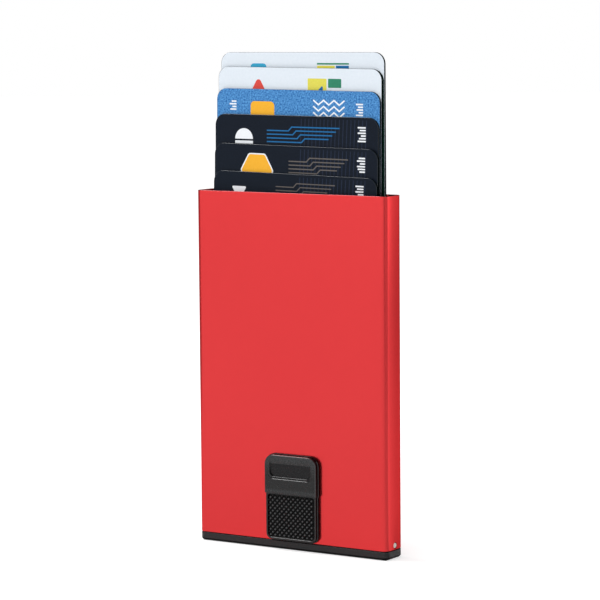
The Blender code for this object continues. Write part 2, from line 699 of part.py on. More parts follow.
def slider_carrier(finish, parent):
    """The stamped plate behind the front wall: it carries the drive pin and the spring's tab."""
    left = drive_pin_place()[0] - CARRIER_LEFT_MARGIN
    main_right = SLIDER_MIDDLE + CARRIER_RIGHT_MARGIN
    arm_top = CARRIER_BOTTOM + CARRIER_ARM
    finger_left = SPRING_MIDDLE - FINGER_WIDTH / 2
    finger_right = SPRING_MIDDLE + FINGER_WIDTH / 2
    outline = [
        (left, CARRIER_BOTTOM),
        (finger_right, CARRIER_BOTTOM),
        (finger_right, FINGER_TOP),
        (finger_left, FINGER_TOP),
        (finger_left, arm_top),
        (main_right, arm_top),
        (main_right, CARRIER_TOP),
        (left, CARRIER_TOP),
    ]
    carrier = piece(
        "slider_carrier", prism(outline, CARRIER_FRONT, CARRIER_BACK, "Y"), finish, parent
    )
    tab_end = SPRING_DIAMETER / 2
    tab = prism(
        plain_box(finger_left, finger_right, FINGER_TOP - FINGER_TAB, FINGER_TOP),
        CARRIER_FRONT + CARRIER_THICKNESS / 2,
        tab_end,
        "Y",
    )
    combine(carrier, cutter("carrier_tab", tab), "UNION")
    holes = bmesh.new()
    low, high = CARRIER_FRONT - CUT_OVERRUN, CARRIER_BACK + CUT_OVERRUN
    pin_hole = disc(drive_pin_place(), DRIVE_PIN_DIAMETER / 2 + HOLE_CLEARANCE)
    add_prism(holes, pin_hole, low, high, "Y")
    for height in rivet_heights():
        hole = disc((SLIDER_MIDDLE, height), RIVET_SHANK / 2 + HOLE_CLEARANCE, steps=16)
        add_prism(holes, hole, low, high, "Y")
    hook_hole = disc((SPRING_MIDDLE, 0), SPRING_WIRE / 2 + HOLE_CLEARANCE, steps=12)
    add_prism(holes, hook_hole, FINGER_TOP - FINGER_TAB - CUT_OVERRUN, FINGER_TOP + CUT_OVERRUN, "Z")
    combine(carrier, cutter("carrier_holes", holes), "DIFFERENCE")
    return carrier


def carrier_rivet(name, height, finish, parent):
    """A rivet that holds the carrier plate to the button's stem."""
    head_front = CARRIER_BACK + HOLE_CLEARANCE
    section = [
        (0, STEM_BACK - RIVET_DEPTH),
        (RIVET_SHANK / 2, STEM_BACK - RIVET_DEPTH),
        (RIVET_SHANK / 2, head_front),
        (RIVET_HEAD / 2, head_front),
        (RIVET_HEAD / 2, head_front + RIVET_HEAD_THICKNESS / 2),
        (RIVET_HEAD / 3, head_front + RIVET_HEAD_THICKNESS),
        (0, head_front + RIVET_HEAD_THICKNESS),
    ]
    shape = bmesh.new()
    add_turned(shape, section, (SLIDER_MIDDLE, height), steps=16)
    return piece(name, shape, finish, parent)


def add_turned(shape, section, middle, steps):
    """Turns a (radius, depth) section about an axis along Y; both of its ends are on the axis."""
    rings = []
    for radius, depth in section:
        if radius == 0:
            rings.append([shape.verts.new((middle[0], depth, middle[1]))])
            continue
        ring = [shape.verts.new((x, depth, z)) for x, z in disc(middle, radius, steps)]
        rings.append(ring)
    for near, far in zip(rings, rings[1:]):
        for n in range(steps):
            m = (n + 1) % steps
            if len(near) == 1:
                shape.faces.new((near[0], far[n], far[m]))
            elif len(far) == 1:
                shape.faces.new((near[n], far[0], near[m]))
            else:
                shape.faces.new((near[n], far[n], far[m], near[m]))


def drive_pin(finish, parent):
    """The steel pin, pressed in the carrier, that runs in the lever's cam slot."""
    outline = disc(drive_pin_place(), DRIVE_PIN_DIAMETER / 2)
    pin = piece("drive_pin", prism(outline, CARRIER_FRONT, FLANGE_BACK, "Y"), finish, parent)
    round_edges(pin, EDGE_BREAK / 2)
    return pin


def spring_route():
    """The wire's middle line: a straight tail, the coil, and a tail through the tab bent over its top."""
    coil_radius = (SPRING_DIAMETER - SPRING_WIRE) / 2
    low = PLUG_TOP + SPRING_TAIL
    high = FINGER_TOP - FINGER_TAB - SPRING_TAIL
    points = [Vector((SPRING_MIDDLE, 0, SPRING_FOOT))]
    points.append(Vector((SPRING_MIDDLE, 0, PLUG_TOP + SPRING_TAIL * SPRING_BEND_SHARE)))
    count = SPRING_TURNS * SPRING_POINTS_PER_TURN
    for n in range(count + 1):
        angle = 2 * math.pi * n / SPRING_POINTS_PER_TURN
        place = Vector((coil_radius * math.cos(angle), coil_radius * math.sin(angle), 0))
        points.append(place + Vector((SPRING_MIDDLE, 0, low + (high - low) * n / count)))
    tab_top = FINGER_TOP + SPRING_END_GAP
    points.append(Vector((SPRING_MIDDLE, 0, high + SPRING_TAIL * (1 - SPRING_BEND_SHARE))))
    points.append(Vector((SPRING_MIDDLE, 0, tab_top - SPRING_WIRE / 2)))
    points.append(Vector((SPRING_MIDDLE, -SPRING_WIRE / 2, tab_top)))
    points.append(Vector((SPRING_MIDDLE, -SPRING_DIAMETER / 2, tab_top)))
    return points


def return_spring(finish):
    """The extension spring from the cap's plug up to the carrier's tab."""
    route = spring_route()
    curve = bpy.data.curves.new("return_spring", "CURVE")
    curve.dimensions = "3D"
    curve.bevel_depth = SPRING_WIRE / 2
    curve.bevel_resolution = 1
    curve.use_fill_caps = True
    line = curve.splines.new("POLY")
    line.points.add(len(route) - 1)
    for point, place in zip(line.points, route):
        point.co = (*place, 1.0)
    made = bpy.data.objects.new("return_spring", curve)
    bpy.context.scene.collection.objects.link(made)
    made.data.materials.append(finish)
    return made


def leaf_spring(finish):
    """A bowed sheet of spring steel between the front wall and the first card."""
    front = FRONT_INNER + LEAF_SEAT
    half = LEAF_LENGTH / 2
    middle = CASE_HEIGHT - LEAF_TOP_DROP - half
    near = []
    for n in range(LEAF_STEPS + 1):
        share = -1 + 2 * n / LEAF_STEPS
        near.append((front + LEAF_BOW * (1 - share * share), middle + half * share))
    far = [(y + LEAF_THICKNESS, z) for y, z in reversed(near)]
    return piece("leaf_spring", prism(near + far, -LEAF_WIDTH / 2, LEAF_WIDTH / 2, "X"), finish)


def friction_strip(name, side, finish):
    """A felt strip on the back wall that rubs on the last card."""
    middle = side * (CARD_WIDTH / 2 - FELT_INSET)
    half = FELT_WIDTH / 2
    high = CASE_HEIGHT - FELT_TOP_DROP
    outline = rounded_box(
        middle - half, middle + half, high - FELT_LENGTH, high, FELT_WIDTH / 8, FELT_WIDTH / 8, steps=3
    )
    back = BACK_INNER - FELT_SEAT
    return piece(name, prism(outline, back - FELT_THICKNESS, back, "Y"), finish)


def build():
    clear_scene()
    anodised = finish_material("red_anodised_aluminium", (0.72, 0.045, 0.05), 0.38, 0.55)
    abs_black = finish_material("black_abs", (0.035, 0.037, 0.04), 0.45, 0.0)
    rubber = finish_material("black_rubber", (0.012, 0.012, 0.013), 0.8, 0.0)
    steel = finish_material("bright_steel", (0.62, 0.60, 0.58), 0.3, 1.0)
    sheet = finish_material("zinc_plated_sheet", (0.45, 0.46, 0.48), 0.4, 1.0)
    acetal = finish_material("grey_acetal", (0.20, 0.21, 0.22), 0.5, 0.0)
    felt = finish_material("grey_felt", (0.08, 0.08, 0.085), 0.95, 0.0)
    white = finish_material("white_card_pvc", (0.78, 0.84, 0.92), 0.35, 0.0)
    blue = finish_material("blue_card_pvc", (0.09, 0.30, 0.60), 0.35, 0.0)
    dark = finish_material("dark_card_pvc", (0.014, 0.019, 0.032), 0.35, 0.0)

    outer_sleeve(anodised)
    bottom_cap(abs_black)
    lock_pin("lock_pin_left", -1, steel)
    lock_pin("lock_pin_right", 1, steel)
    guide_rail("guide_rail_left", -1, acetal)
    guide_rail("guide_rail_right", 1, acetal)
    leaf_spring(steel)
    friction_strip("friction_strip_left", -1, felt)
    friction_strip("friction_strip_right", 1, felt)
    pivot_pin(steel)
    return_spring(steel)

    slide = frame_empty("slider_slide", Vector((SLIDER_MIDDLE, FRONT, BUTTON_BOTTOM)))
    slider_button(abs_black, slide)
    grip_pad(rubber, slide)
    slider_carrier(sheet, slide)
    for name, height in zip(("carrier_rivet_lower", "carrier_rivet_upper"), rivet_heights()):
        carrier_rivet(name, height, steel, slide)
    drive_pin(steel, slide)

    swing = frame_empty("lever_swing", PIVOT)
    lift_lever(acetal, swing)

    for number, finish in enumerate((white, white, blue, dark, dark, dark), start=1):
        card(number, finish)


build()
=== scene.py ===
import math

import bmesh
import bpy
from mathutils import Matrix, Vector


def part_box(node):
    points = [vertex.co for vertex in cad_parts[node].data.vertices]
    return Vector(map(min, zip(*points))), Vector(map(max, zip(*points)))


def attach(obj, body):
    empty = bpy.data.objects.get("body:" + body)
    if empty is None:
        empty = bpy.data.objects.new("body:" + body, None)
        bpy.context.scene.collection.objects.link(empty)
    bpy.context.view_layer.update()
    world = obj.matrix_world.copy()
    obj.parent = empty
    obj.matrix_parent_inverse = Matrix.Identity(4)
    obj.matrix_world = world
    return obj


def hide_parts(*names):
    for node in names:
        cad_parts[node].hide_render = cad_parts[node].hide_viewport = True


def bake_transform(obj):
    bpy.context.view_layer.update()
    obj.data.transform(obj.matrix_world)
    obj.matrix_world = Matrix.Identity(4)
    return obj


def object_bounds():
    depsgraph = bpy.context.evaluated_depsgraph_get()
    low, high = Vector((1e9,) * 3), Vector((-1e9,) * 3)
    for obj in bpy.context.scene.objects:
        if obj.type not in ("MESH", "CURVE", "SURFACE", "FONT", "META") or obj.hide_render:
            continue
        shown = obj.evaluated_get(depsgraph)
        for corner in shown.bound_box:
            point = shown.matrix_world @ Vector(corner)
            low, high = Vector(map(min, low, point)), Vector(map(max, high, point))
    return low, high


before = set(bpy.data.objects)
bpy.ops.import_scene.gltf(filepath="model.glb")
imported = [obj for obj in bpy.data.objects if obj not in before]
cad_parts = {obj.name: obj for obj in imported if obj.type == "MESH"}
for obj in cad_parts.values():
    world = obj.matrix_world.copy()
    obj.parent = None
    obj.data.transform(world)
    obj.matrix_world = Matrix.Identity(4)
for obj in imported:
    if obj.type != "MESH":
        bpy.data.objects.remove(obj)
cad_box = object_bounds()

# The outer sleeve is one length of thin walled aluminium extrusion, cut square, then milled for the
# slider's slot and the two lock pins. It is bead blasted, anodised, dyed red and sealed, and it
# slides over the plug of the bottom cap.
MM = 0.001
WALL = 0.9 * MM
CASE_CORNER = 1.8 * MM
BORE_CORNER = 0.4 * MM
SAWN_EDGE = 0.15 * MM
SIDE_SWELL_DEG = 4.5
SLOT_WIDTH = 3.2 * MM
SLOT_BOTTOM = 5.7 * MM
SLOT_TOP = 27.3 * MM
PIN_HOLE_RADIUS = 0.9 * MM
PIN_HOLE_EDGE = 0.08 * MM
OVERRUN = 0.6 * MM
SMOOTH_ANGLE = math.radians(40)
sleeve_low, sleeve_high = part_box("outer_sleeve")
button_low, button_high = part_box("slider_button")
pin_low, pin_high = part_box("lock_pin_right")
slider_middle = (button_low.x + button_high.x) / 2
lock_pin_height = (pin_low.z + pin_high.z) / 2
case_half_width = sleeve_high.x
case_half_depth = sleeve_high.y
case_front = sleeve_low.y


def linear(code):
    """An sRGB hex colour as the linear colour that a shader takes."""
    channels = [int(code[n : n + 2], 16) / 255 for n in (0, 2, 4)]
    return (*[c / 12.92 if c <= 0.04045 else ((c + 0.055) / 1.055) ** 2.4 for c in channels], 1.0)


def wire(node, sockets):
    """Gives a node's sockets their values, or links each to an output or to a node's first output."""
    for name, value in sockets.items():
        if isinstance(value, bpy.types.Node):
            value = next(output for output in value.outputs if output.enabled)
        if isinstance(value, bpy.types.NodeSocket):
            node.id_data.links.new(value, node.inputs[name])
        else:
            node.inputs[name].default_value = value


def add_node(finish, kind, sockets=(), **settings):
    """Adds one shader node with its own settings, and with values or links on its sockets."""
    made = finish.node_tree.nodes.new("ShaderNode" + kind)
    for name, value in settings.items():
        setattr(made, name, value)
    wire(made, dict(sockets))
    return made


def feed(finish, sockets):
    """Values and links for a material's Principled shader."""
    wire(finish.node_tree.nodes["Principled BSDF"], sockets)


def new_finish(name, values):
    """A node material whose Principled shader has these values on its sockets."""
    finish = bpy.data.materials.new(name)
    finish.use_nodes = True
    feed(finish, values)
    return finish


def grained(finish, place, size, gloss_range, relief=0.0, detail=3.0, roughness=0.5):
    """One real grain on a finish: it changes the gloss and, given a relief, stands up a little."""
    noise = {"Vector": place, "Scale": 1 / size, "Detail": detail, "Roughness": roughness}
    grain = add_node(finish, "TexNoise", noise)
    low, high = gloss_range
    gloss = {"Value": grain, "To Min": low, "To Max": high}
    feed(finish, {"Roughness": add_node(finish, "MapRange", gloss)})
    if relief:
        bumps = {"Strength": relief, "Distance": GRAIN_HEIGHT, "Height": grain}
        feed(finish, {"Normal": add_node(finish, "Bump", bumps)})
    return grain


def arc(middle, radius, start, end, steps):
    """Points on a round arc with both ends, the angles in degrees."""
    turns = [math.radians(start + (end - start) * n / steps) for n in range(steps + 1)]
    return [(middle[0] + radius * math.cos(t), middle[1] + radius * math.sin(t)) for t in turns]


def circle(middle, radius, count):
    return arc(middle, radius, 0, 360 - 360 / count, count - 1)


def rounded_box(left, right, low, high, top_corner, bottom_corner, steps=10, stops=()):
    """A rectangle with round corners, from its right side round over the top; stops are heights that
    get a point on both sides."""
    points = arc((right - top_corner, high - top_corner), top_corner, 0, 90, steps)
    points += arc((left + top_corner, high - top_corner), top_corner, 90, 180, steps)
    points += [(left, stop) for stop in sorted(stops, reverse=True)]
    points += arc((left + bottom_corner, low + bottom_corner), bottom_corner, 180, 270, steps)
    points += arc((right - bottom_corner, low + bottom_corner), bottom_corner, 270, 360, steps)
    points += [(right, stop) for stop in sorted(stops)]
    return points


def at_depth(outline, depth):
    return [(x, depth, z) for x, z in outline]


def case_plan(inset, corner, swell=0.0):
    """The case seen from above, drawn in evenly; its narrow sides round away by the swell's angle."""
    half_width = case_half_width - inset
    half_depth = case_half_depth - inset
    lean = math.sin(math.radians(swell))
    reach = half_depth - corner * (1 - lean)
    side = [(half_width - lean * y * y / (2 * reach), y) for y in (reach * n / 4 for n in range(-3, 4))]
    edge = half_width - lean * reach / 2
    middle = (edge - corner * math.cos(math.radians(swell)), reach - corner * lean)
    quarter = arc(middle, corner, swell, 90, 14)
    plan = quarter + [(-x, y) for x, y in reversed(quarter)]
    plan += [(-x, y) for x, y in reversed(side)] + [(-x, -y) for x, y in quarter]
    return plan + [(x, -y) for x, y in reversed(quarter)] + side


def add_skin(shape, rings, ring_closed=False):
    """Skins a row of rings that have as many points each, and closes its two ends."""
    loops = [[shape.verts.new(place) for place in ring] for ring in rings]
    following = loops[1:] + loops[:1] if ring_closed else loops[1:]
    for near, far in zip(loops, following):
        for n in range(len(near)):
            m = (n + 1) % len(near)
            shape.faces.new((near[n], near[m], far[m], far[n]))
    if not ring_closed:
        shape.faces.new(list(reversed(loops[0])))
        shape.faces.new(loops[-1])
    return loops


def add_prism(shape, outline, low, high, axis):
    """A straight bar with this outline along an axis."""
    turned = {
        "X": lambda a, b, c: (c, a, b),
        "Y": lambda a, b, c: (a, c, b),
        "Z": lambda a, b, c: (a, b, c),
    }[axis]
    add_skin(shape, [[turned(a, b, c) for a, b in outline] for c in (low, high)])


def skin(rings, ring_closed=False):
    shape = bmesh.new()
    add_skin(shape, rings, ring_closed)
    return shape


def prism(outline, low, high, axis):
    shape = bmesh.new()
    add_prism(shape, outline, low, high, axis)
    return shape


def new_part(name, shape, finish=None):
    """An object made of the drawn shape, its faces turned outwards."""
    bmesh.ops.recalc_face_normals(shape, faces=shape.faces)
    mesh = bpy.data.meshes.new(name)
    shape.to_mesh(mesh)
    shape.free()
    made = bpy.data.objects.new(name, mesh)
    bpy.context.scene.collection.objects.link(made)
    if finish:
        mesh.materials.append(finish)
    return made


def machine(part, shape, operation):
    """Cuts a shape out of a part, or joins it on, and keeps the result as the part's own mesh."""
    tool = new_part("tool", shape)
    step = part.modifiers.new("machine", "BOOLEAN")
    step.operation = operation
    step.solver = "EXACT"
    step.object = tool
    settle(part)
    bpy.data.objects.remove(tool)


def settle(part):
    """Turns a part's modifiers into its mesh."""
    bpy.context.view_layer.update()
    evaluated = part.evaluated_get(bpy.context.evaluated_depsgraph_get())
    done = bpy.data.meshes.new_from_object(evaluated)
    part.modifiers.clear()
    part.data = done


def smooth(part, angle=SMOOTH_ANGLE):
    """Shades round stretches smooth and keeps the flats flat."""
    part.data.shade_smooth()
    part.data.set_sharp_from_angle(angle=angle)
    step = part.modifiers.new("flat_faces", "WEIGHTED_NORMAL")
    step.keep_sharp = True


def wall_section():
    """The sleeve's wall in section, as (inset, height) round its four broken edges."""
    low, high, edge = sleeve_low.z, sleeve_high.z, SAWN_EDGE
    section = arc((edge, low + edge), edge, 270, 180, 4)
    section += arc((edge, high - edge), edge, 180, 90, 4)
    section += arc((WALL - edge, high - edge), edge, 90, 0, 4)
    section += arc((WALL - edge, low + edge), edge, 0, -90, 4)
    return section


def wall_ring(inset, height):
    if inset < WALL / 2:
        plan = case_plan(inset, CASE_CORNER - inset, SIDE_SWELL_DEG)
    else:
        plan = case_plan(inset, BORE_CORNER + WALL - inset)
    return [(x, y, height) for x, y in plan]


def slot_ring(grown, depth):
    half = SLOT_WIDTH / 2 + grown
    left, right = slider_middle - half, slider_middle + half
    outline = rounded_box(left, right, SLOT_BOTTOM - grown, SLOT_TOP + grown, half, half)
    return at_depth(outline, depth)


def pin_ring(x, radius, count=36):
    return [(x, y, z) for y, z in circle((0, lock_pin_height), radius, count)]


# The blasted grain, about 0.12 mm across, is drawn at 0.3 mm so that it still shows: it breaks the
# softbox into a satin sheen. The clear oxide over the dye gives the second, colourless gloss. A
# darker red is painted along the sawn top edge: painted shade.
GRAIN_HEIGHT = 0.02 * MM
BLAST_GRAIN = 0.3 * MM
DYE_CLOUD = 35 * MM
anodised_aluminium = new_finish(
    "anodised_aluminium",
    {
        "Metallic": 1.0,
        "Specular Tint": linear("F0A0A0"),
        "Coat Weight": 0.08,
        "Coat Roughness": 0.2,
        "Coat IOR": 1.5,
    },
)
sleeve_place = add_node(anodised_aluminium, "TexCoord").outputs["Object"]
grained(anodised_aluminium, sleeve_place, BLAST_GRAIN, (0.18, 0.26), 0.12, detail=2.0, roughness=0.55)
dye_cloud = add_node(
    anodised_aluminium, "TexNoise", {"Vector": sleeve_place, "Scale": 1 / DYE_CLOUD, "Detail": 1.0}
)
dye_shades = {"Factor": dye_cloud, "A": linear("E43E41"), "B": linear("E84143")}
dye = add_node(anodised_aluminium, "Mix", dye_shades, data_type="RGBA")
# A darker red painted along the top edge by height: painted shade.
painted_top_edge_shade = add_node(
    anodised_aluminium,
    "MapRange",
    {
        "Value": add_node(anodised_aluminium, "SeparateXYZ", {"Vector": sleeve_place}).outputs["Z"],
        "From Min": sleeve_high.z - SAWN_EDGE,
        "From Max": sleeve_high.z - SAWN_EDGE / 2,
    },
)
top_edge_shade_shades = {"Factor": painted_top_edge_shade, "A": dye, "B": linear("844244")}
feed(
    anodised_aluminium,
    {"Base Color": add_node(anodised_aluminium, "Mix", top_edge_shade_shades, data_type="RGBA")},
)

wall_rings = [wall_ring(*place) for place in wall_section()]
sleeve = new_part("sleeve_tube", skin(wall_rings, ring_closed=True), anodised_aluminium)
slot_steps = [
    (case_front - OVERRUN, SAWN_EDGE),
    (case_front, SAWN_EDGE),
    (case_front + SAWN_EDGE / 3, SAWN_EDGE / 3),
    (case_front + SAWN_EDGE, 0),
    (case_front + WALL + OVERRUN, 0),
]
machine(sleeve, skin([slot_ring(grown, depth) for depth, grown in slot_steps]), "DIFFERENCE")
mouth = PIN_HOLE_RADIUS + PIN_HOLE_EDGE
outside = case_half_width + OVERRUN
pin_hole_steps = [
    (-outside, mouth),
    (-case_half_width, mouth),
    (-case_half_width + PIN_HOLE_EDGE, PIN_HOLE_RADIUS),
    (case_half_width - PIN_HOLE_EDGE, PIN_HOLE_RADIUS),
    (case_half_width, mouth),
    (outside, mouth),
]
machine(sleeve, skin([pin_ring(x, radius) for x, radius in pin_hole_steps]), "DIFFERENCE")
smooth(sleeve)
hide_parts("outer_sleeve")
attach(sleeve, "case")

# The bottom cap is a moulded ABS plug with a rim as wide as the case and a flat sole. Two ears on
# the plug hold the lever's pivot pin, and two steel pins lock the plug in the sleeve.
CAP_RIM = 2.4 * MM
CAP_EDGE = 0.08 * MM
FOOT_ROUND = 0.5 * MM
SOLE_RISE = 0.25 * MM
SOLE_INSET = 0.9 * MM
PLUG_INSET = 1.1 * MM
PLUG_CORNER = 0.6 * MM
PLUG_TOP = 5.8 * MM
EAR_RADIUS = 2.6 * MM
BACK_EAR = 0.8 * MM
CARRIER_GAUGE = 0.45 * MM
PIVOT_PLAY = 0.1 * MM
PIN_LENGTH = 4.0 * MM
PIN_HOLE_SPARE = 0.2 * MM
ANCHOR_RADIUS = 0.21 * MM
ANCHOR_FLOOR = 4.8 * MM
pivot_low, pivot_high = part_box("pivot_pin")
carrier_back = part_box("slider_carrier")[0].y + CARRIER_GAUGE
spring_low, spring_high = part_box("return_spring")
pivot_x = (pivot_low.x + pivot_high.x) / 2
pivot_z = (pivot_low.z + pivot_high.z) / 2
pivot_bore = (pivot_high.x - pivot_low.x) / 2 + PIVOT_PLAY
spring_x = (spring_low.x + spring_high.x) / 2


def cap_rings():
    """The cap's levels from its underside up to the plug's top."""
    rim = arc((FOOT_ROUND, SOLE_RISE + FOOT_ROUND), FOOT_ROUND, 270, 180, 6)
    rim += arc((CAP_EDGE, CAP_RIM - CAP_EDGE), CAP_EDGE, 180, 90, 3)
    plans = [(case_plan(inset, CASE_CORNER - inset, SIDE_SWELL_DEG), height) for inset, height in rim]
    plans += [(case_plan(PLUG_INSET, PLUG_CORNER), height) for height in (CAP_RIM, PLUG_TOP)]
    return [[(x, y, height) for x, y in plan] for plan, height in plans]


def ear_outline():
    crown = arc((pivot_x, pivot_z), EAR_RADIUS, 0, 180, 24)
    foot = PLUG_TOP - OVERRUN
    return crown + [(pivot_x - EAR_RADIUS, foot), (pivot_x + EAR_RADIUS, foot)]


def moulded(name, specular, dark_code, pale_code):
    """Injection moulded plastic: two close shades and a change of gloss on the mould's grain."""
    finish = new_finish(name, {"IOR": 1.53, "Specular IOR Level": specular})
    place = add_node(finish, "TexCoord").outputs["Object"]
    grain = grained(finish, place, MOULD_GRAIN, (0.22, 0.32), 0.2, roughness=0.6)
    shades = {"Factor": grain, "A": linear(dark_code), "B": linear(pale_code)}
    shade = add_node(finish, "Mix", shades, data_type="RGBA")
    feed(finish, {"Base Color": shade})
    return finish, place, shade


# Spark eroded moulds leave a fine matt grain of about 0.1 mm, drawn at 0.25 mm: it spreads the
# plastic's grey sheen over a nearly black body. A darker copy with hardly any sheen is painted shade.
MOULD_GRAIN = 0.25 * MM
moulded_abs = moulded("moulded_abs", 0.36, "101012", "171719")[0]
painted_shade_abs = moulded("painted_shade_abs", 0.05, "050506", "0A0A0B")[0]

cap_shape = skin(cap_rings())
# The foot's rounding takes the darker, nearly sheenless copy: painted shade where the cap meets the
# table.
for face in cap_shape.faces:
    face.material_index = 1 if face.calc_center_median().z < SOLE_RISE + FOOT_ROUND else 0
cap = new_part("cap_moulding", cap_shape, moulded_abs)
cap.data.materials.append(painted_shade_abs)
sole_half_width = case_half_width - SOLE_INSET
sole_half_depth = case_half_depth - SOLE_INSET
sole_sides = ((1, 1), (-1, 1), (-1, -1), (1, -1))
sole_corners = [(x * sole_half_width, y * sole_half_depth) for x, y in sole_sides]
machine(cap, prism(sole_corners, 0, SOLE_RISE + FOOT_ROUND, "Z"), "UNION")
for ear_front, ear_back in (
    (pivot_low.y, carrier_back),
    (pivot_high.y - BACK_EAR, pivot_high.y),
):
    machine(cap, prism(ear_outline(), ear_front, ear_back, "Y"), "UNION")
bores_shape = bmesh.new()
bore = circle((pivot_x, pivot_z), pivot_bore, 36)
add_prism(bores_shape, bore, pivot_low.y - OVERRUN, pivot_high.y + OVERRUN, "Y")
pin_bore = circle((0, lock_pin_height), PIN_HOLE_RADIUS, 36)
blind = pin_high.x - PIN_LENGTH - PIN_HOLE_SPARE
add_prism(bores_shape, pin_bore, -case_half_width - OVERRUN, -blind, "X")
add_prism(bores_shape, pin_bore, blind, case_half_width + OVERRUN, "X")
anchor_bore = circle((spring_x, 0), ANCHOR_RADIUS, 12)
add_prism(bores_shape, anchor_bore, ANCHOR_FLOOR, PLUG_TOP + OVERRUN, "Z")
machine(cap, bores_shape, "DIFFERENCE")
smooth(cap)
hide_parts("bottom_cap")
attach(cap, "case")

# Two turned steel pins, pressed through the sleeve's narrow sides into the plug, keep the cap on.
# Each shows as a small bright dot just under the anodised face.
PIN_CHAMFER = 0.14 * MM
PIN_DIMPLE = 0.06 * MM
DIMPLE_SHARE = 0.45
DIMPLE_FLOOR_SHARE = 0.2
pin_radius = (pin_high.z - pin_low.z) / 2

# Turning leaves rings about 0.05 mm apart on the end, drawn at 0.16 mm: they draw the light out
# into a soft cross on bright, slightly warm steel.
TURNING_RINGS = 0.16 * MM
TURNING_DEPTH = 0.01 * MM
SMUDGE = 0.5 * MM
turned_steel = new_finish("turned_steel", {"Base Color": linear("D8D2CC"), "Metallic": 1.0})
turned_place = add_node(turned_steel, "TexCoord").outputs["Object"]
grained(turned_steel, turned_place, SMUDGE, (0.18, 0.34), detail=2.0)
to_pin_end = {"Vector": turned_place, "Location": (0, 0, -lock_pin_height), "Scale": (0, 1, 1)}
turned_middle = add_node(turned_steel, "Mapping", to_pin_end)
turned_radius = add_node(turned_steel, "VectorMath", {0: turned_middle}, operation="LENGTH")
turned_turns = {0: turned_radius, 1: 2 * math.pi / TURNING_RINGS}
turned_scale = add_node(turned_steel, "Math", turned_turns, operation="MULTIPLY")
turned_wave = add_node(turned_steel, "Math", {0: turned_scale}, operation="SINE")
turned_relief = {"Strength": 0.25, "Distance": TURNING_DEPTH, "Height": turned_wave}
feed(turned_steel, {"Normal": add_node(turned_steel, "Bump", turned_relief)})

for side, name in ((-1, "lock_pin_left"), (1, "lock_pin_right")):
    end = side * pin_high.x
    along = [
        (end - side * PIN_LENGTH, pin_radius - PIN_CHAMFER),
        (end - side * (PIN_LENGTH - PIN_CHAMFER), pin_radius),
        (end - side * PIN_CHAMFER, pin_radius),
        (end - side * PIN_CHAMFER / 3, pin_radius - PIN_CHAMFER / 3),
        (end, pin_radius - PIN_CHAMFER),
        (end, pin_radius * DIMPLE_SHARE),
        (end - side * PIN_DIMPLE, pin_radius * DIMPLE_FLOOR_SHARE),
    ]
    pin_shape = skin([pin_ring(x, radius, 48) for x, radius in along])
    pin = new_part(name + "_turned", pin_shape, turned_steel)
    smooth(pin)
    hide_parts(name)
    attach(pin, "case")

# The thumb button is one ABS moulding: a raised head with a shallow finger window, and below a step
# the rimmed seat of the grip pad. Its stem runs in the sleeve's slot, riveted to the carrier inside.
HEAD_CORNER = 3.0 * MM
HEAD_EDGE = 0.42 * MM
HEAD_FOOT_CORNER = 0.5 * MM
LEAST_CORNER = 0.05 * MM
LEDGE = 15.9 * MM
STEP_DEPTH = 0.4 * MM
BACK_EDGE = 0.12 * MM
BACK_GAP = 0.15 * MM
FLANGE = 0.55 * MM
FLANGE_STEP = 0.22 * MM
FLANGE_EDGE = 0.08 * MM
HEAD_LIFT = 0.015 * MM
HEAD_DROP = 0.25 * MM
FOOT_DROP = 0.3 * MM
WINDOW_WIDTH = 13.4 * MM
WINDOW_BOTTOM = 21.2 * MM
WINDOW_TOP = 25.6 * MM
WINDOW_FOLD = 24.7 * MM
WINDOW_CORNER = 0.7 * MM
WINDOW_FOOT_CORNER = 1.2 * MM
WINDOW_DEPTH = 0.6 * MM
WINDOW_DRAFT = 0.04 * MM
FOLD_DEPTH = 0.42 * MM
TOP_SPREAD_SHARE = 0.06
LIP_EDGE = 0.22 * MM
LIP_SHARES = ((1.15, 0.0), (0.7, 0.12), (0.3, 0.5), (0.0, 0.9))
BEAD_GAP = 0.9 * MM
BEAD_DEPTH = 0.14 * MM
BEAD_FLOOR = 1.4 * BEAD_DEPTH
REST_CORNER = 2.0 * MM
REST_STEP = 0.25 * MM
REST_EDGE = 0.16 * MM
RIM_WIDTH = 0.8 * MM
SEAT_DEPTH = 0.8 * MM
SEAT_CORNER = 1.2 * MM
STEM_WIDTH = 2.6 * MM
STEM_BOTTOM = 6.0 * MM
STEM_TOP = 11.0 * MM
RIVET_HOLE = 0.6 * MM
RIVET_REACH = 1.3 * MM
button_front = button_low.y
button_back = case_front - BACK_GAP
button_foot = button_low.z - FOOT_DROP
head_top = button_high.z - HEAD_DROP
rest_front = button_front + STEP_DEPTH

# The button's upper end, and a band just above the ledge over the pad, are painted greyer than the
# band between them: painted sheen. The window's floor is duller, the same dull finish paints shade in
# the groove under its lip, and the right edges are painted pale: a painted highlight.
LEDGE_SHEEN_TOP = 1.9 * MM
LEDGE_SHEEN_FULL = 1.2 * MM
LEDGE_SHEEN_FOOT = 0.1 * MM
painted_sheen_abs, thumb_place, thumb_shade = moulded("painted_sheen_abs", 0.38, "0A0A0B", "0F0F10")
thumb_height = add_node(painted_sheen_abs, "SeparateXYZ", {"Vector": thumb_place}).outputs["Z"]


def sheen_between(start, end, most=1.0, curve="SMOOTHSTEP"):
    """How much painted sheen the button gets between two heights, from none to the most."""
    spread = {"Value": thumb_height, "From Min": start, "From Max": end, "To Max": most}
    return add_node(painted_sheen_abs, "MapRange", spread, interpolation_type=curve)


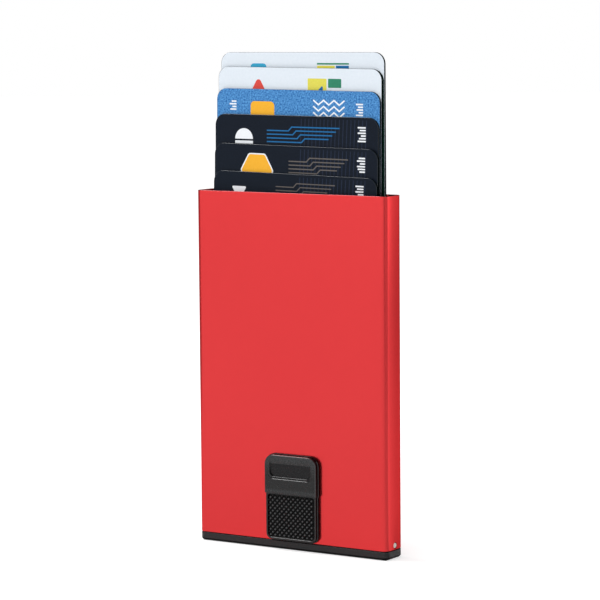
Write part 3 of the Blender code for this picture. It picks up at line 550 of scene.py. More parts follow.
ledge_sheen = {
    0: sheen_between(LEDGE + LEDGE_SHEEN_TOP, LEDGE + LEDGE_SHEEN_FULL, 0.8),
    1: sheen_between(LEDGE, LEDGE + LEDGE_SHEEN_FOOT, curve="LINEAR"),
}
all_sheen = {
    0: sheen_between(WINDOW_BOTTOM, WINDOW_TOP),
    1: add_node(painted_sheen_abs, "Math", ledge_sheen, operation="MULTIPLY"),
}
thumb_shades = {
    "Factor": add_node(painted_sheen_abs, "Math", all_sheen, operation="MAXIMUM"),
    "A": thumb_shade,
    "B": linear("262829"),
}
feed(painted_sheen_abs, {"Base Color": add_node(painted_sheen_abs, "Mix", thumb_shades, data_type="RGBA")})
# A duller copy for the window's floor; in the groove under the window's lip it is painted shade.
grain_and_groove_shade_abs = moulded("grain_and_groove_shade_abs", 0.22, "101012", "171719")[0]
# A paler copy for the button's right edges: a painted highlight.
painted_highlight_abs = moulded("painted_highlight_abs", 0.3, "3A3C3D", "404243")[0]


def head_ring(inset, depth):
    """The raised head's outline at a depth."""
    left, right = button_low.x + inset, button_high.x - inset
    corners = HEAD_CORNER - inset, max(HEAD_FOOT_CORNER - inset, LEAST_CORNER)
    stop = head_top - HEAD_CORNER - HEAD_EDGE
    outline = rounded_box(left, right, LEDGE + inset, head_top - inset, *corners, stops=(stop,))
    return at_depth(outline, depth)


def window_depth(height):
    """The finger window slopes in quickly below its top edge, then gently down to its lower lip."""
    if height >= WINDOW_TOP:
        return 0.0
    if height >= WINDOW_FOLD:
        return FOLD_DEPTH * (WINDOW_TOP - height) / (WINDOW_TOP - WINDOW_FOLD)
    share = (WINDOW_FOLD - height) / (WINDOW_FOLD - WINDOW_BOTTOM)
    return FOLD_DEPTH + (WINDOW_DEPTH - FOLD_DEPTH) * min(share, 1.0)


def window_ring(grown, share=0.0, groove=0.0):
    """The window's outline, at a share of its depth; the bead's groove fades towards the top."""
    half = WINDOW_WIDTH / 2 + grown
    left, right = slider_middle - half, slider_middle + half
    top = WINDOW_TOP + min(grown, grown * TOP_SPREAD_SHARE)
    corners = WINDOW_CORNER, WINDOW_FOOT_CORNER + grown
    outline = rounded_box(left, right, WINDOW_BOTTOM - grown, top, *corners, stops=(WINDOW_FOLD,))
    ring = []
    for x, z in outline:
        lowness = min(max((WINDOW_FOLD - z) / (WINDOW_FOLD - WINDOW_BOTTOM), 0.0), 1.0)
        ring.append((x, button_front + window_depth(z) * share + groove * lowness, z))
    return ring


def rest_ring(inset, depth):
    """The outline, at a depth, of the lower block that the pad is seated in."""
    left, right = button_low.x + REST_STEP + inset, button_high.x - REST_STEP - inset
    foot, top = button_foot + inset, LEDGE + HEAD_FOOT_CORNER
    return at_depth(rounded_box(left, right, foot, top, REST_EDGE, REST_CORNER - inset), depth)


def seat_outline(grown):
    """The inside of the rim round the grip pad."""
    half = (button_high.x - button_low.x) / 2 - REST_STEP - RIM_WIDTH + grown
    left, right = slider_middle - half, slider_middle + half
    corners = SEAT_CORNER / 2 + grown, SEAT_CORNER + grown
    return rounded_box(left, right, button_foot + RIM_WIDTH - grown, LEDGE + grown, *corners)


flange_steps = (
    (BACK_EDGE, 0),
    (0, BACK_EDGE),
    (0, FLANGE - FLANGE_EDGE),
    (FLANGE_EDGE, FLANGE),
    (FLANGE_STEP, FLANGE),
)
# The head's flange stands a hair in front of the seat's, so that the two share no plane.
head_rings = [head_ring(inset, button_back - HEAD_LIFT - rise) for inset, rise in flange_steps]
head_turn = (FLANGE_STEP + HEAD_EDGE, button_front + HEAD_EDGE)
head_rings += [head_ring(*turn) for turn in arc(head_turn, HEAD_EDGE, 180, 270, 6)]
head_rings += [
    window_ring(BEAD_GAP),
    window_ring(BEAD_GAP - BEAD_DEPTH, groove=BEAD_DEPTH),
    window_ring(BEAD_GAP - BEAD_FLOOR, groove=BEAD_DEPTH),
    *[window_ring(LIP_EDGE * width, share) for width, share in LIP_SHARES],
    window_ring(-WINDOW_DRAFT, 1.0),
]
head_shape = bmesh.new()
head_loops = add_skin(head_shape, head_rings)
fold_ends = [v for v in head_loops[-1] if abs(v.co.z - WINDOW_FOLD) < LEAST_CORNER]
bmesh.ops.connect_verts(head_shape, verts=fold_ends)
# The window's floor and the groove under its lip get the duller copy; in the groove it is painted
# shade.
for face in head_shape.faces:
    middle = face.calc_center_median()
    inside = abs(middle.x - slider_middle) < WINDOW_WIDTH / 2 and middle.y > button_front
    on_floor = WINDOW_BOTTOM < middle.z < WINDOW_FOLD and len(face.verts) > 4
    in_groove = -BEAD_GAP + BEAD_DEPTH < middle.z - WINDOW_BOTTOM < -LIP_EDGE
    face.material_index = 1 if inside and (in_groove or on_floor) else 0
button = new_part("thumb_button", head_shape, painted_sheen_abs)
rest_rings = [rest_ring(inset, button_back - rise) for inset, rise in flange_steps]
rest_turn = (FLANGE_STEP + REST_EDGE, rest_front + REST_EDGE)
rest_rings += [rest_ring(*turn) for turn in arc(rest_turn, REST_EDGE, 180, 270, 4)]
for grown, depth in ((REST_EDGE / 2, 0), (0, REST_EDGE / 2), (0, SEAT_DEPTH)):
    rest_rings.append(at_depth(seat_outline(grown), rest_front + depth))
machine(button, skin(rest_rings), "UNION")
stem_half = STEM_WIDTH / 2
stem_left, stem_right = slider_middle - stem_half, slider_middle + stem_half
stem = rounded_box(stem_left, stem_right, STEM_BOTTOM, STEM_TOP, stem_half, stem_half)
machine(button, prism(stem, button_back - BACK_EDGE * 2, button_high.y, "Y"), "UNION")
rivet_holes = bmesh.new()
for rivet in ("carrier_rivet_lower", "carrier_rivet_upper"):
    rivet_height = sum(corner.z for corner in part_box(rivet)) / 2
    hole = circle((slider_middle, rivet_height), RIVET_HOLE, 24)
    add_prism(rivet_holes, hole, button_high.y - RIVET_REACH, button_high.y + OVERRUN, "Y")
machine(button, rivet_holes, "DIFFERENCE")
# The sides, and the flange round the head's top, get the darker copy with hardly any sheen: painted
# shade. The rounded right edges, and the flange there, get the paler copy: a painted highlight.
SIDEWAYS = 0.3
FACING = 0.97
FLANGE_REACH = 1.1 * FLANGE
for finish in (grain_and_groove_shade_abs, painted_shade_abs, painted_highlight_abs):
    button.data.materials.append(finish)
for face in button.data.polygons:
    crown = face.center.z > button_high.z - HEAD_CORNER / 2
    on_flange = face.center.y > button_back - FLANGE_REACH
    at_right = face.center.x > button_high.x - FLANGE_STEP - HEAD_EDGE - REST_STEP
    if abs(face.normal.y) < SIDEWAYS or (crown and on_flange):
        face.material_index = 2
    elif at_right and (on_flange or abs(face.normal.y) < FACING):
        face.material_index = 3
smooth(button)
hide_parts("slider_button")
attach(button, "slider")

# The grip pad is a moulded rubber inlay, knurled in four sided points by two sets of diagonal
# grooves and glued in the button's seat.
KNURL_PITCH = 1.52 * MM
POINT_TOP_SHARE = 0.27
KNURL_HEIGHT = 0.53 * MM
PAD_BASE = 0.14 * MM
PAD_EDGE = 0.3 * MM
pad_low, pad_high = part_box("grip_pad")
pad_valley = pad_high.y - PAD_BASE

# Natural rubber filled with carbon black: dull, with a fine dusty grain. The points' tops are painted
# a soft grey by their height: a painted highlight.
RUBBER_GRAIN = 0.2 * MM
vulcanised_rubber = new_finish("vulcanised_rubber", {"IOR": 1.52, "Specular IOR Level": 0.25})
rubber_place = add_node(vulcanised_rubber, "TexCoord").outputs["Object"]
grained(vulcanised_rubber, rubber_place, RUBBER_GRAIN, (0.42, 0.6), 0.25)
rubber_depth = add_node(vulcanised_rubber, "SeparateXYZ", {"Vector": rubber_place}).outputs["Y"]
rubber_rise = {"Value": rubber_depth, "From Min": pad_valley, "From Max": pad_valley - KNURL_HEIGHT}
point_rise_share = add_node(vulcanised_rubber, "MapRange", rubber_rise)
painted_peak_highlight = add_node(vulcanised_rubber, "Math", {0: point_rise_share, 1: 5.0}, operation="POWER")
peak_highlight_shades = {"Factor": painted_peak_highlight, "A": linear("060607"), "B": linear("525354")}
feed(
    vulcanised_rubber,
    {"Base Color": add_node(vulcanised_rubber, "Mix", peak_highlight_shades, data_type="RGBA")},
)


def knurl_place(across, along, height):
    """A place on the pad from its count of pitches along the two sets of grooves."""
    x = slider_middle + (across + along) * KNURL_PITCH / 2
    z = (pad_low.z + pad_high.z) / 2 + (across - along) * KNURL_PITCH / 2
    return (x, pad_valley - height, z)


pad_shape = bmesh.new()
pad_corners = {}
reach = math.ceil((pad_high.x - pad_low.x + pad_high.z - pad_low.z) / 2 / KNURL_PITCH) + 1
for across in range(-reach, reach):
    for along in range(-reach, reach):
        if abs(across + along + 1) > reach + 1 or abs(across - along) > reach + 1:
            continue
        base = []
        for i, j in ((0, 0), (1, 0), (1, 1), (0, 1)):
            key = (across + i, along + j)
            if key not in pad_corners:
                pad_corners[key] = pad_shape.verts.new(knurl_place(*key, 0))
            base.append(pad_corners[key])
        low, high = 0.5 - POINT_TOP_SHARE / 2, 0.5 + POINT_TOP_SHARE / 2
        top = []
        for i, j in ((low, low), (high, low), (high, high), (low, high)):
            top.append(pad_shape.verts.new(knurl_place(across + i, along + j, KNURL_HEIGHT)))
        pad_shape.faces.new(top)
        for n in range(4):
            m = (n + 1) % 4
            pad_shape.faces.new((base[n], base[m], top[m], top[n]))
skirt = bmesh.ops.extrude_face_region(pad_shape, geom=list(pad_shape.faces))["geom"]
for item in skirt:
    if isinstance(item, bmesh.types.BMVert):
        item.co.y = pad_high.y
pad = new_part("knurled_pad", pad_shape, vulcanised_rubber)
pad_trim = prism(seat_outline(-PAD_EDGE), pad_low.y - OVERRUN, pad_high.y + OVERRUN, "Y")
machine(pad, pad_trim, "INTERSECT")
smooth(pad, math.radians(20))
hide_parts("grip_pad")
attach(pad, "slider")

# Six plastic cards of the usual bank size stand in the pocket, fanned by the lever's steps. Each is
# white or coloured PVC sheet, printed and pressed between two clear satin films, then die cut.
CARD_WIDTH = 53.98 * MM
CARD_HEIGHT = 85.6 * MM
CARD_CORNER = 3.18 * MM
CARD_THICKNESS = 0.76 * MM
CARD_EDGE = 0.11 * MM
CARD_PLAY = 0.01 * MM
PRINT_RISE = 0.012 * MM
LEAST_MITRE = 0.3


def card_outline(inset):
    half_width = CARD_WIDTH / 2 - inset
    half_height = CARD_HEIGHT / 2 - inset
    corner = CARD_CORNER - inset
    return rounded_box(-half_width, half_width, -half_height, half_height, corner, corner)


def from_top(x, drop):
    """A place on a card, in millimetres across from its middle and down from its top edge."""
    return (x * MM, CARD_HEIGHT / 2 - drop * MM)


def polygon(middle, radius, sides, turn=0.0):
    """An even sided figure, in millimetres, on a card's own places."""
    x, drop = middle
    corners = arc((0, 0), radius, turn, turn + 360 - 360 / sides, sides - 1)
    return [from_top(x + a, drop - b) for a, b in corners]


def eased(places, radius, steps=5):
    """The same figure with its corners rounded."""
    points = [Vector(place) for place in places]
    rounded = []
    for before, corner, after in zip(points[-1:] + points[:-1], points, points[1:] + points[:1]):
        to_before = (before - corner).normalized()
        to_after = (after - corner).normalized()
        half = to_before.angle(to_after) / 2
        middle = corner + (to_before + to_after).normalized() * radius / math.sin(half)
        start = corner + to_before * radius / math.tan(half) - middle
        end = corner + to_after * radius / math.tan(half) - middle
        for n in range(steps + 1):
            rounded.append(tuple(middle + start.lerp(end, n / steps).normalized() * radius))
    return rounded


def bar(left, right, top, bottom, corner=0.15):
    """A printed bar, in millimetres across and down from the card's top."""
    a, b = from_top(left, bottom), from_top(right, top)
    return rounded_box(a[0], b[0], a[1], b[1], corner * MM, corner * MM, steps=3)


def stroke(places, width):
    """A printed line of even width through places given in millimetres."""
    points = [Vector(from_top(*place)) for place in places]
    left_side, right_side = [], []
    for n, point in enumerate(points):
        into = (point - points[n - 1]).normalized() if n else None
        out = (points[n + 1] - point).normalized() if n + 1 < len(points) else None
        along = ((into or out) + (out or into)).normalized()
        across = Vector((-along.y, along.x))
        reach_out = width * MM / 2 / max(along.dot(into or out), LEAST_MITRE)
        left_side.append(tuple(point + across * reach_out))
        right_side.append(tuple(point - across * reach_out))
    return right_side + left_side[::-1]


FILM_WAVE = 6 * MM
FILM_RELIEF = 0.05 * MM
FILM_SPECULAR = 0.1


def laminate(name, low_code, high_code, speckle, speckle_share, roughness, specular=FILM_SPECULAR):
    """Printed PVC under clear film: a flat ink with its grain, seen through a satin surface."""
    finish = new_finish(
        name, {"IOR": 1.5, "Roughness": roughness, "Specular IOR Level": specular}
    )
    place = add_node(finish, "TexCoord").outputs["Object"]
    noise = {"Vector": place, "Scale": 1 / speckle, "Detail": 2.0, "Roughness": 0.7}
    spread = {
        "Value": add_node(finish, "TexNoise", noise),
        "From Min": 0.5 - speckle_share,
        "From Max": 0.5 + speckle_share,
    }
    shades = {
        "Factor": add_node(finish, "MapRange", spread),
        "A": linear(low_code),
        "B": linear(high_code),
    }
    film = add_node(finish, "TexNoise", {"Vector": place, "Scale": 1 / FILM_WAVE, "Detail": 1.0})
    relief = add_node(finish, "Bump", {"Strength": 0.15, "Distance": FILM_RELIEF, "Height": film})
    feed(finish, {"Base Color": add_node(finish, "Mix", shades, data_type="RGBA"), "Normal": relief})
    return finish


# White core stock shows a cool, nearly even white; the blue print is a metallic fleck of about
# 0.5 mm, and the dark cards are a blue black with a barely seen fleck. The cut edges are dark and
# matt: the dark cards' own core, and painted shade on the white and blue cards. The dark cards' and
# the blue card's front film catches a little light.
INK_GRAIN = 0.5 * MM
white_laminate = laminate("white_laminated_pvc", "DEE7F0", "E5EDF5", 0.8 * MM, 0.3, 0.4)
blue_laminate = laminate("blue_fleck_laminated_pvc", "205CA2", "62A6DF", 0.48 * MM, 0.15, 0.4)
dark_laminate = laminate("dark_laminated_pvc", "0B131D", "141D2B", 0.35 * MM, 0.2, 0.4)
edge_dark_and_shade = laminate("die_cut_dark_pvc", "050B0B", "0A1314", 0.4 * MM, 0.3, 0.8, 0.0)
film_edge = laminate("film_edge_pvc", "1A222B", "242E38", 0.4 * MM, 0.3, 0.25, 0.6)
inks = {
    name: laminate(name + "_ink", low_code, high_code, INK_GRAIN, 0.3, 0.4)
    for name, low_code, high_code in (
        ("white", "E9EEF4", "F4F7FA"),
        ("amber", "F2AE2E", "F8B93C"),
        ("red", "D9473F", "E1544C"),
        ("cyan", "35A2CB", "43AED5"),
        ("yellow", "DDD44F", "E6DE66"),
        ("green", "2F7F62", "398C6D"),
        ("blue", "1E639B", "2874AE"),
        ("bronze", "5A5552", "6B6663"),
        ("slate", "232B3D", "28324A"),
    )
}
inks["forest"] = laminate("forest_ink", "0C2A22", "12352B", INK_GRAIN, 0.3, 0.6, 0.04)
inks["stripe"] = laminate("magnetic_stripe", "1B1613", "261F1B", 0.3 * MM, 0.3, 0.3, 0.5)

# Contact plates are copper foil under hard gold: a pale brassy sheen, finely rubbed by use.
GOLD_RUBS = 0.6 * MM
gold_contact = new_finish("gold_plated_contact", {"Metallic": 1.0})
gold_place = add_node(gold_contact, "TexCoord").outputs["Object"]
gold_rubs = grained(gold_contact, gold_place, GOLD_RUBS, (0.22, 0.4))
gold_shades = {"Factor": gold_rubs, "A": linear("C9A75C"), "B": linear("DDC07A")}
feed(gold_contact, {"Base Color": add_node(gold_contact, "Mix", gold_shades, data_type="RGBA")})
inks["gold"] = gold_contact


def ticks(left, right, top, lengths, gap=0.75, height=0.42):
    """A short column of bars of unlike length, where such a card has small print."""
    rows = []
    for n, length in enumerate(lengths):
        drop = top + n * gap
        rows.append(("white", bar(right - (right - left) * length, right, drop, drop + height, 0.1)))
    return rows


def stepped_lines(ink, left, right, top, count, width, gap=1.05):
    """A nest of parallel lines, each with one slanting step."""
    rows = []
    for n in range(count):
        drop = top + n * gap
        step = left + (right - left) * (0.3 + 0.06 * n)
        places = [(left, drop + 1.1), (step, drop + 1.1), (step + 1.1, drop), (right - n * 1.2, drop)]
        rows.append((ink, stroke(places, width)))
    return rows


def zigzags(ink, left, right, drops, width):
    """Zigzag lines one under the other."""
    rows = []
    for drop in drops:
        places = [(left + (right - left) * n / 6, drop + 1.3 * (n % 2)) for n in range(7)]
        rows.append((ink, stroke(places, width)))
    return rows


def half_round(x, drop, radius):
    """A half disc on its flat side."""
    return [from_top(x + a, drop - b) for a, b in arc((0, 0), radius, 0, 180, 16)]


def contact_plate(x, drop=58.0):
    """A contact plate with the gaps between its fields."""
    rows = [("gold", bar(x - 5.9, x + 5.9, drop, drop + 11.0, 1.4))]
    for across in (-2.0, 2.0):
        rows.append(("slate", bar(x + across - 0.09, x + across + 0.09, drop + 0.3, drop + 10.7, 0.05)))
    for down in (3.7, 7.3):
        for left, right in ((x - 5.6, x - 2.1), (x + 2.1, x + 5.6)):
            rows.append(("slate", bar(left, right, drop + down - 0.09, drop + down + 0.09, 0.05)))
    return rows


# Faint slanting stripes run down the right half of each dark card.
stripe_tops = [2.0 + 1.25 * n for n in range(18)]
pinstripes = [("slate", stroke([(x, 0.8), (x - 1.6, 40.0)], 0.22)) for x in stripe_tops]

# Each white card has a dark green band down its right edge, which shows in the fan as a thin line.
amber_patch = eased(polygon((-11.5, 7.4), 5.6, 4, 45), 1.2 * MM)
card_prints = {
    1: [
        ("green", stroke([(5.2, 3.2), (15.6, 3.2)], 0.45)),
        ("yellow", bar(5.2, 11.0, 3.7, 8.6, 0.2)),
        ("blue", bar(11.4, 15.6, 3.7, 8.6, 0.2)),
        ("cyan", bar(-17.0, -11.6, 3.1, 5.4, 1.1)),
        ("slate", bar(-20.0, 20.0, 30.0, 30.6, 0.3)),
        ("forest", bar(21.0, 26.87, 4.8, 82.0, 2.9)),
        *contact_plate(-12.0),
    ],
    2: [
        ("yellow", bar(3.0, 9.2, 2.9, 9.0, 0.2)),
        ("blue", eased([from_top(4.3, 8.2), from_top(8.0, 8.2), from_top(8.0, 4.6)], 0.3 * MM)),
        ("green", bar(9.7, 14.0, 2.9, 5.4, 0.2)),
        ("red", eased(polygon((-13.4, 7.4), 4.9, 3, 90), 0.9 * MM)),
        ("forest", bar(21.0, 26.87, 6.6, 82.0, 2.9)),
        ("slate", bar(-20.0, 20.0, 30.0, 30.6, 0.3)),
        *contact_plate(12.0),
    ],
    3: [
        ("amber", amber_patch),
        *zigzags("white", 5.4, 15.6, (2.7, 4.4, 6.1, 7.8), 0.42),
        *ticks(19.3, 21.6, 3.4, (1.0, 0.7, 0.9, 0.6, 1.0)),
        *ticks(-22.6, -20.3, 3.4, (0.7, 1.0, 0.6, 0.9)),
        *contact_plate(0.0),
    ],
    4: [
        *pinstripes,
        *stepped_lines("blue", -9.5, 14.5, 3.2, 4, 0.34),
        ("white", half_round(-17.2, 6.9, 3.0)),
        ("white", bar(-20.2, -14.2, 7.4, 8.2, 0.1)),
        *ticks(20.4, 23.0, 2.6, (1.0, 0.75, 1.0, 0.6, 0.85, 1.0)),
        *contact_plate(0.0),
    ],
    5: [
        *pinstripes,
        *stepped_lines("bronze", -2.0, 17.5, 3.2, 4, 0.34),
        ("white", eased(polygon((-12.6, 7.3), 5.6, 6), 1.0 * MM)),
        ("amber", eased(polygon((-12.6, 7.3), 5.2, 6), 0.9 * MM)),
        *ticks(20.4, 23.0, 2.4, (0.8, 1.0, 0.65, 1.0, 0.9, 0.7)),
        *contact_plate(0.0),
    ],
    6: [
        *pinstripes,
        *stepped_lines("bronze", -6.0, 13.5, 2.6, 5, 0.3),
        ("white", eased(polygon((-18.3, 5.6), 2.9, 3, 30), 0.3 * MM)),
        *ticks(20.2, 22.8, 2.2, (1.0, 0.8, 1.0, 0.7, 0.9, 1.0)),
        *contact_plate(0.0),
    ],
}
card_backs = [
    ("stripe", bar(9.8, 22.5, 0.2, 85.4, 0.05)),
    ("white", bar(-1.4, 8.2, 12.0, 66.0, 0.2)),
    *[("slate", bar(-0.6 + 1.9 * n, -0.35 + 1.9 * n, 13.0, 65.0, 0.05)) for n in range(5)],
]
# Each card's slot and stock, its lean in degrees, and how far it stands aside within its play.
cards = {
    1: ("white_card_pvc", white_laminate, 0.15, 0.3 * MM),
    2: ("white_card_pvc", white_laminate, -0.5, -0.3 * MM),
    3: ("blue_card_pvc", blue_laminate, -0.6, -0.4 * MM),
    4: ("dark_card_pvc", dark_laminate, -0.5, -0.4 * MM),
    5: ("dark_card_pvc", dark_laminate, -0.9, -0.3 * MM),
    6: ("dark_card_pvc", dark_laminate, -1.1, -0.2 * MM),
}
# Along the right edge the dark edge finish, painted shade on the white and blue cards, takes in the
# first turn of the rounding as well.
CARD_FACING = 0.95
RIGHT_EDGE_FACING = 0.99
RIGHTWARDS = 0.1
edge_turns = arc((CARD_EDGE, CARD_EDGE), CARD_EDGE, 270, 180, 3)
levels = edge_turns + [(inset, CARD_THICKNESS - depth) for inset, depth in reversed(edge_turns)]

for number, (slot_name, stock, lean, aside) in cards.items():
    low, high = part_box(f"card_{number}")
    card_shape = skin([at_depth(card_outline(inset), depth) for inset, depth in levels])
    finishes = [stock, edge_dark_and_shade, film_edge]
    for face in card_shape.faces:
        face.normal_update()
        least_facing = RIGHT_EDGE_FACING if face.normal.x > RIGHTWARDS else CARD_FACING
        if abs(face.normal.y) > least_facing:
            face.material_index = 0
        elif number > 2 and face.calc_center_median().y < CARD_EDGE:
            face.material_index = 2
        else:
            face.material_index = 1
    fronts = [(ink, outline, 0, -1) for ink, outline in card_prints[number]]
    backs = [(ink, outline, CARD_THICKNESS, 1) for ink, outline in card_backs]
    for layer, (ink, outline, depth, outwards) in enumerate(fronts + backs):
        if inks[ink] not in finishes:
            finishes.append(inks[ink])
        before = set(card_shape.faces)
        rise = PRINT_RISE * (1 + layer / len(fronts + backs))
        inside = depth - outwards * PRINT_RISE
        add_prism(card_shape, outline, inside, depth + outwards * rise, "Y")
        for face in set(card_shape.faces) - before:
            face.material_index = finishes.index(inks[ink])
    card = new_part(f"card_{number}_printed", card_shape)
    for finish in finishes:
        card.data.materials.append(finish)
    middle = (low + high) / 2
    card.location = (middle.x + aside, low.y, middle.z - CARD_PLAY)
    card.rotation_euler = (0, -math.radians(lean), 0)
    smooth(card)
    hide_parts(f"card_{number}")
    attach(card, f"card_{number}")

# The works inside keep their engineered shapes: acetal rails and lever, a stamped carrier plate
# with its rivets and pins, and the bowed leaf that presses the cards together.


def worked(name, low_code, high_code, size, metallic, gloss_range, stretch=(1, 1, 1)):
    """A plain engineering finish: two close shades and a change of gloss on one real grain."""
    finish = new_finish(name, {"Metallic": metallic})
    place = add_node(finish, "TexCoord").outputs["Object"]
    stretched = add_node(finish, "Mapping", {"Vector": place, "Scale": stretch})
    marks = grained(finish, stretched, size, gloss_range, 0.15)
    shades = {"Factor": marks, "A": linear(low_code), "B": linear(high_code)}
    feed(finish, {"Base Color": add_node(finish, "Mix", shades, data_type="RGBA")})
    return finish


# Moulded acetal is waxy and slightly translucent looking; plated sheet keeps the mill's long grain;
# spring steel is drawn or rolled, blued a little, with streaks along it.
moulded_acetal = worked("moulded_acetal", "6E7274", "7B7F81", 0.5 * MM, 0.0, (0.4, 0.55))
plated_sheet = worked("zinc_plated_sheet", "AEB4BA", "C6CBD0", 0.5 * MM, 1.0, (0.28, 0.42), (1, 1, 6))
drawn_steel = worked("drawn_spring_steel", "8F9297", "AEB1B5", 0.4 * MM, 1.0, (0.2, 0.34), (1, 1, 0.2))
turned_pins = worked("ground_steel_pin", "C4C1BC", "D2CFCA", 0.3 * MM, 1.0, (0.16, 0.28), (1, 0.1, 1))
for finish, nodes in (
    (moulded_acetal, ("guide_rail_left", "guide_rail_right", "lift_lever")),
    (plated_sheet, ("slider_carrier",)),
    (drawn_steel, ("leaf_spring",)),
    (turned_pins, ("pivot_pin", "drive_pin", "carrier_rivet_lower", "carrier_rivet_upper")),
):
    for node in nodes:
        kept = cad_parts[node]
        kept.data.materials.clear()
        kept.data.materials.append(finish)

# The return spring is wound of hard drawn wire and hooked between the cap and the carrier's tab.
coil = bpy.data.objects.new("return_spring_coil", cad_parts["return_spring"].data.copy())
bpy.context.scene.collection.objects.link(coil)
coil.data.materials.clear()
coil.data.materials.append(drawn_steel)
rounding = coil.modifiers.new("rounding", "SUBSURF")
rounding.levels = rounding.render_levels = 1
settle(coil)
smooth(coil, math.radians(60))
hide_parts("return_spring")
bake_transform(coil)

# Two strips of pressed wool felt, glued to the back wall behind the last card, give the cards their
# drag. Their faces are slightly uneven and their cut edges fray.
FELT_CORNER = 1.0 * MM
FELT_CROWN = 0.08 * MM
FELT_EDGE = 0.06 * MM
FELT_ROUND = 0.3 * MM
pressed_felt = worked("pressed_wool_felt", "3E3E40", "57575A", 0.35 * MM, 0.0, (0.85, 1.0))
feed(pressed_felt, {"Sheen Weight": 0.4})
for name in ("friction_strip_left", "friction_strip_right"):
    low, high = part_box(name)
    levels = (
        (0.0, high.y),
        (0.0, low.y + FELT_CROWN),
        (FELT_EDGE, low.y + FELT_CROWN / 3),
        (FELT_ROUND, low.y),
    )
    rings = []
    for inset, depth in levels:
        sides = low.x + inset, high.x - inset, low.z + inset, high.z - inset
        corner = FELT_CORNER - inset
        rings.append(at_depth(rounded_box(*sides, corner, corner, steps=6), depth))
    felt = new_part(name + "_felt", skin(rings), pressed_felt)
    smooth(felt)
    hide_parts(name)
    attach(felt, "case")

# The studio is a white light table, a wide key and a fill at the front, a strip and a rear light for
# the narrow side, and one small light high on the left that draws the bright lines on the top edges.
FLOOR_RADIUS = 4.0
FLOOR_GAP = 0.05 * MM
table_white = new_finish("table_white", {"Base Color": linear("D2D2D2"), "Roughness": 0.9})
table_place = add_node(table_white, "TexCoord").outputs["Object"]
# Seen by the camera the table glows less towards the object's foot, down to 0.6 within 2 cm: a painted
# shade round the foot.
table_glow_and_foot_shade = add_node(
    table_white,
    "MapRange",
    {
        "Value": add_node(table_white, "VectorMath", {0: table_place}, operation="LENGTH"),
        "From Min": 0.02,
        "From Max": 0.2,
        "To Min": 0.6,
        "To Max": 0.92,
    },
    interpolation_type="SMOOTHSTEP",
)
from_side = {0: table_place, 1: (case_half_width, 0, 0)}
table_from_side = add_node(table_white, "VectorMath", from_side, operation="SUBTRACT")
table_way = add_node(table_white, "VectorMath", {0: table_from_side}, operation="NORMALIZE")


def direction(azimuth, elevation=0.0):
    """The way from the object at these angles; azimuth is turned from the front towards the right."""
    turn, rise = math.radians(azimuth), math.radians(elevation)
    return Vector((math.sin(turn) * math.cos(rise), -math.cos(turn) * math.cos(rise), math.sin(rise)))


def table_lobe(azimuth, near, far, low, high):
    """How the table shines round a direction, between two angles from it; only the object sees it."""
    towards = {0: table_way, 1: direction(azimuth)}
    return add_node(
        table_white,
        "MapRange",
        {
            "Value": add_node(table_white, "VectorMath", towards, operation="DOT_PRODUCT"),
            "From Min": math.cos(math.radians(far)),
            "From Max": math.cos(math.radians(near)),
            "To Min": low,
            "To Max": high,
        },
        interpolation_type="SMOOTHSTEP",
    )


lobes = {0: table_lobe(85, 20, 60, 0.12, 0.0), 1: table_lobe(122, 8, 26, 0.0, 0.4)}
table_light = {
    "Value": add_node(table_white, "LightPath").outputs["Is Camera Ray"],
    "To Min": add_node(table_white, "Math", lobes, operation="ADD"),
    "To Max": table_glow_and_foot_shade,
}
feed(
    table_white,
    {
        "Emission Color": (1, 1, 1, 1),
        "Emission Strength": add_node(table_white, "MapRange", table_light),
    },
)
floor_shape = bmesh.new()
bmesh.ops.create_circle(floor_shape, cap_ends=True, segments=96, radius=FLOOR_RADIUS)
floor = new_part("studio_table", floor_shape, table_white)
floor.location.z = cad_box[0].z - FLOOR_GAP

LIGHT_AIM = Vector((0, 0, 60 * MM))


def softbox(name, azimuth, elevation, distance, width, tall, radiance):
    """A square light that faces the object from a distance in metres."""
    lamp = bpy.data.lights.new(name, "AREA")
    lamp.shape = "RECTANGLE"
    lamp.size = width
    lamp.size_y = tall
    lamp.energy = radiance * math.pi * width * tall
    made = bpy.data.objects.new(name, lamp)
    out = direction(azimuth, elevation)
    made.location = LIGHT_AIM + out * distance
    made.rotation_euler = (-out).to_track_quat("-Z", "Y").to_euler()
    bpy.context.scene.collection.objects.link(made)


softbox("key_softbox", -4, 18, 1.2, 3.0, 0.9, 0.94)
softbox("fill_softbox", -10, 46, 1.2, 1.6, 0.6, 1.5)
softbox("strip_softbox", 128, 16, 0.5, 0.2, 0.34, 0.95)
softbox("rear_softbox", 148, 14, 1.0, 0.45, 0.6, 0.6)
softbox("high_softbox", -79, 57, 1.0, 0.5, 0.3, 14.0)


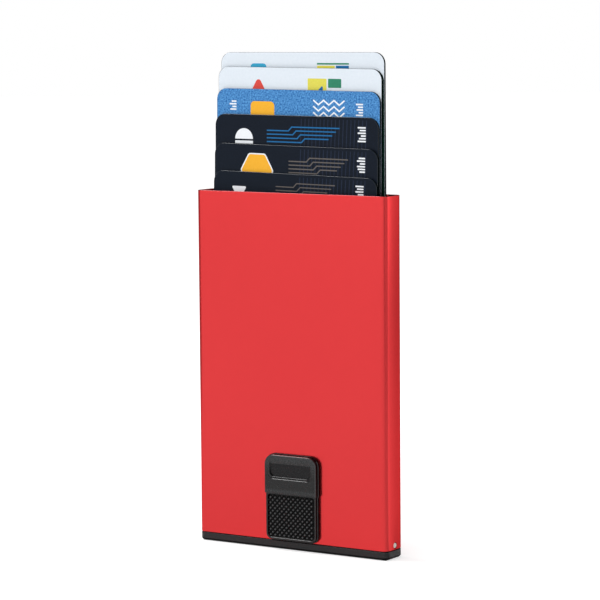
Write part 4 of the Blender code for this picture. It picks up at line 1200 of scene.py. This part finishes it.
def shade_card(name, azimuth, distance, width, tall):
    """An unlit card beside the object, out of sight, which draws a darker line on its long edges."""
    out = direction(azimuth) * distance
    along = direction(azimuth + 90) * width / 2
    board_shape = bmesh.new()
    feet = [board_shape.verts.new(out + along * side) for side in (-1, 1)]
    heads = [board_shape.verts.new(out + along * side + Vector((0, 0, tall))) for side in (1, -1)]
    board_shape.faces.new(feet + heads)
    board = new_part(name, board_shape, card_board)
    board.visible_camera = False


card_board = new_finish("card_board", {"Base Color": linear("DADADA"), "Roughness": 1.0})
shade_card("shade_card_right", 85, 0.35, 0.33, 0.35)
shade_card("shade_card_left", -101, 0.35, 0.7, 0.3)

world = bpy.data.worlds.new("studio_room")
world.use_nodes = True
bpy.context.scene.world = world
seen = add_node(world, "LightPath").outputs["Is Camera Ray"]
room_light = add_node(world, "MapRange", {"Value": seen, "To Min": 0.22, "To Max": 1.0})
wire(world.node_tree.nodes["Background"], {"Color": (1, 1, 1, 1), "Strength": room_light})
bpy.context.scene.view_settings.view_transform = "Standard"

# The camera stands to the right and a little above, as in the photograph, with a long lens.
CAMERA_DISTANCE = 777.65 * MM
CAMERA_YAW_DEG = 32.614
CAMERA_PITCH_DEG = 6.088
CAMERA_ROLL = math.radians(-0.434)
CAMERA_AIM = Vector((0, 0, 50 * MM))
CAMERA_SHIFT_RIGHT = 0.449 * MM
CAMERA_SHIFT_UP = 20.566 * MM
LENS = 165.58
back = direction(CAMERA_YAW_DEG, CAMERA_PITCH_DEG)
level_right = direction(CAMERA_YAW_DEG + 90)
level_up = back.cross(level_right)
right = level_right * math.cos(CAMERA_ROLL) + level_up * math.sin(CAMERA_ROLL)
up = level_up * math.cos(CAMERA_ROLL) - level_right * math.sin(CAMERA_ROLL)
camera_data = bpy.data.cameras.new("camera")
camera_data.lens = LENS
camera_data.sensor_width = 36
camera = bpy.data.objects.new("camera", camera_data)
place = CAMERA_AIM + right * CAMERA_SHIFT_RIGHT + up * CAMERA_SHIFT_UP + back * CAMERA_DISTANCE
turn = Matrix((right, up, back)).transposed().to_4x4()
camera.matrix_world = Matrix.Translation(place) @ turn
bpy.context.scene.collection.objects.link(camera)
bpy.context.scene.camera = camera
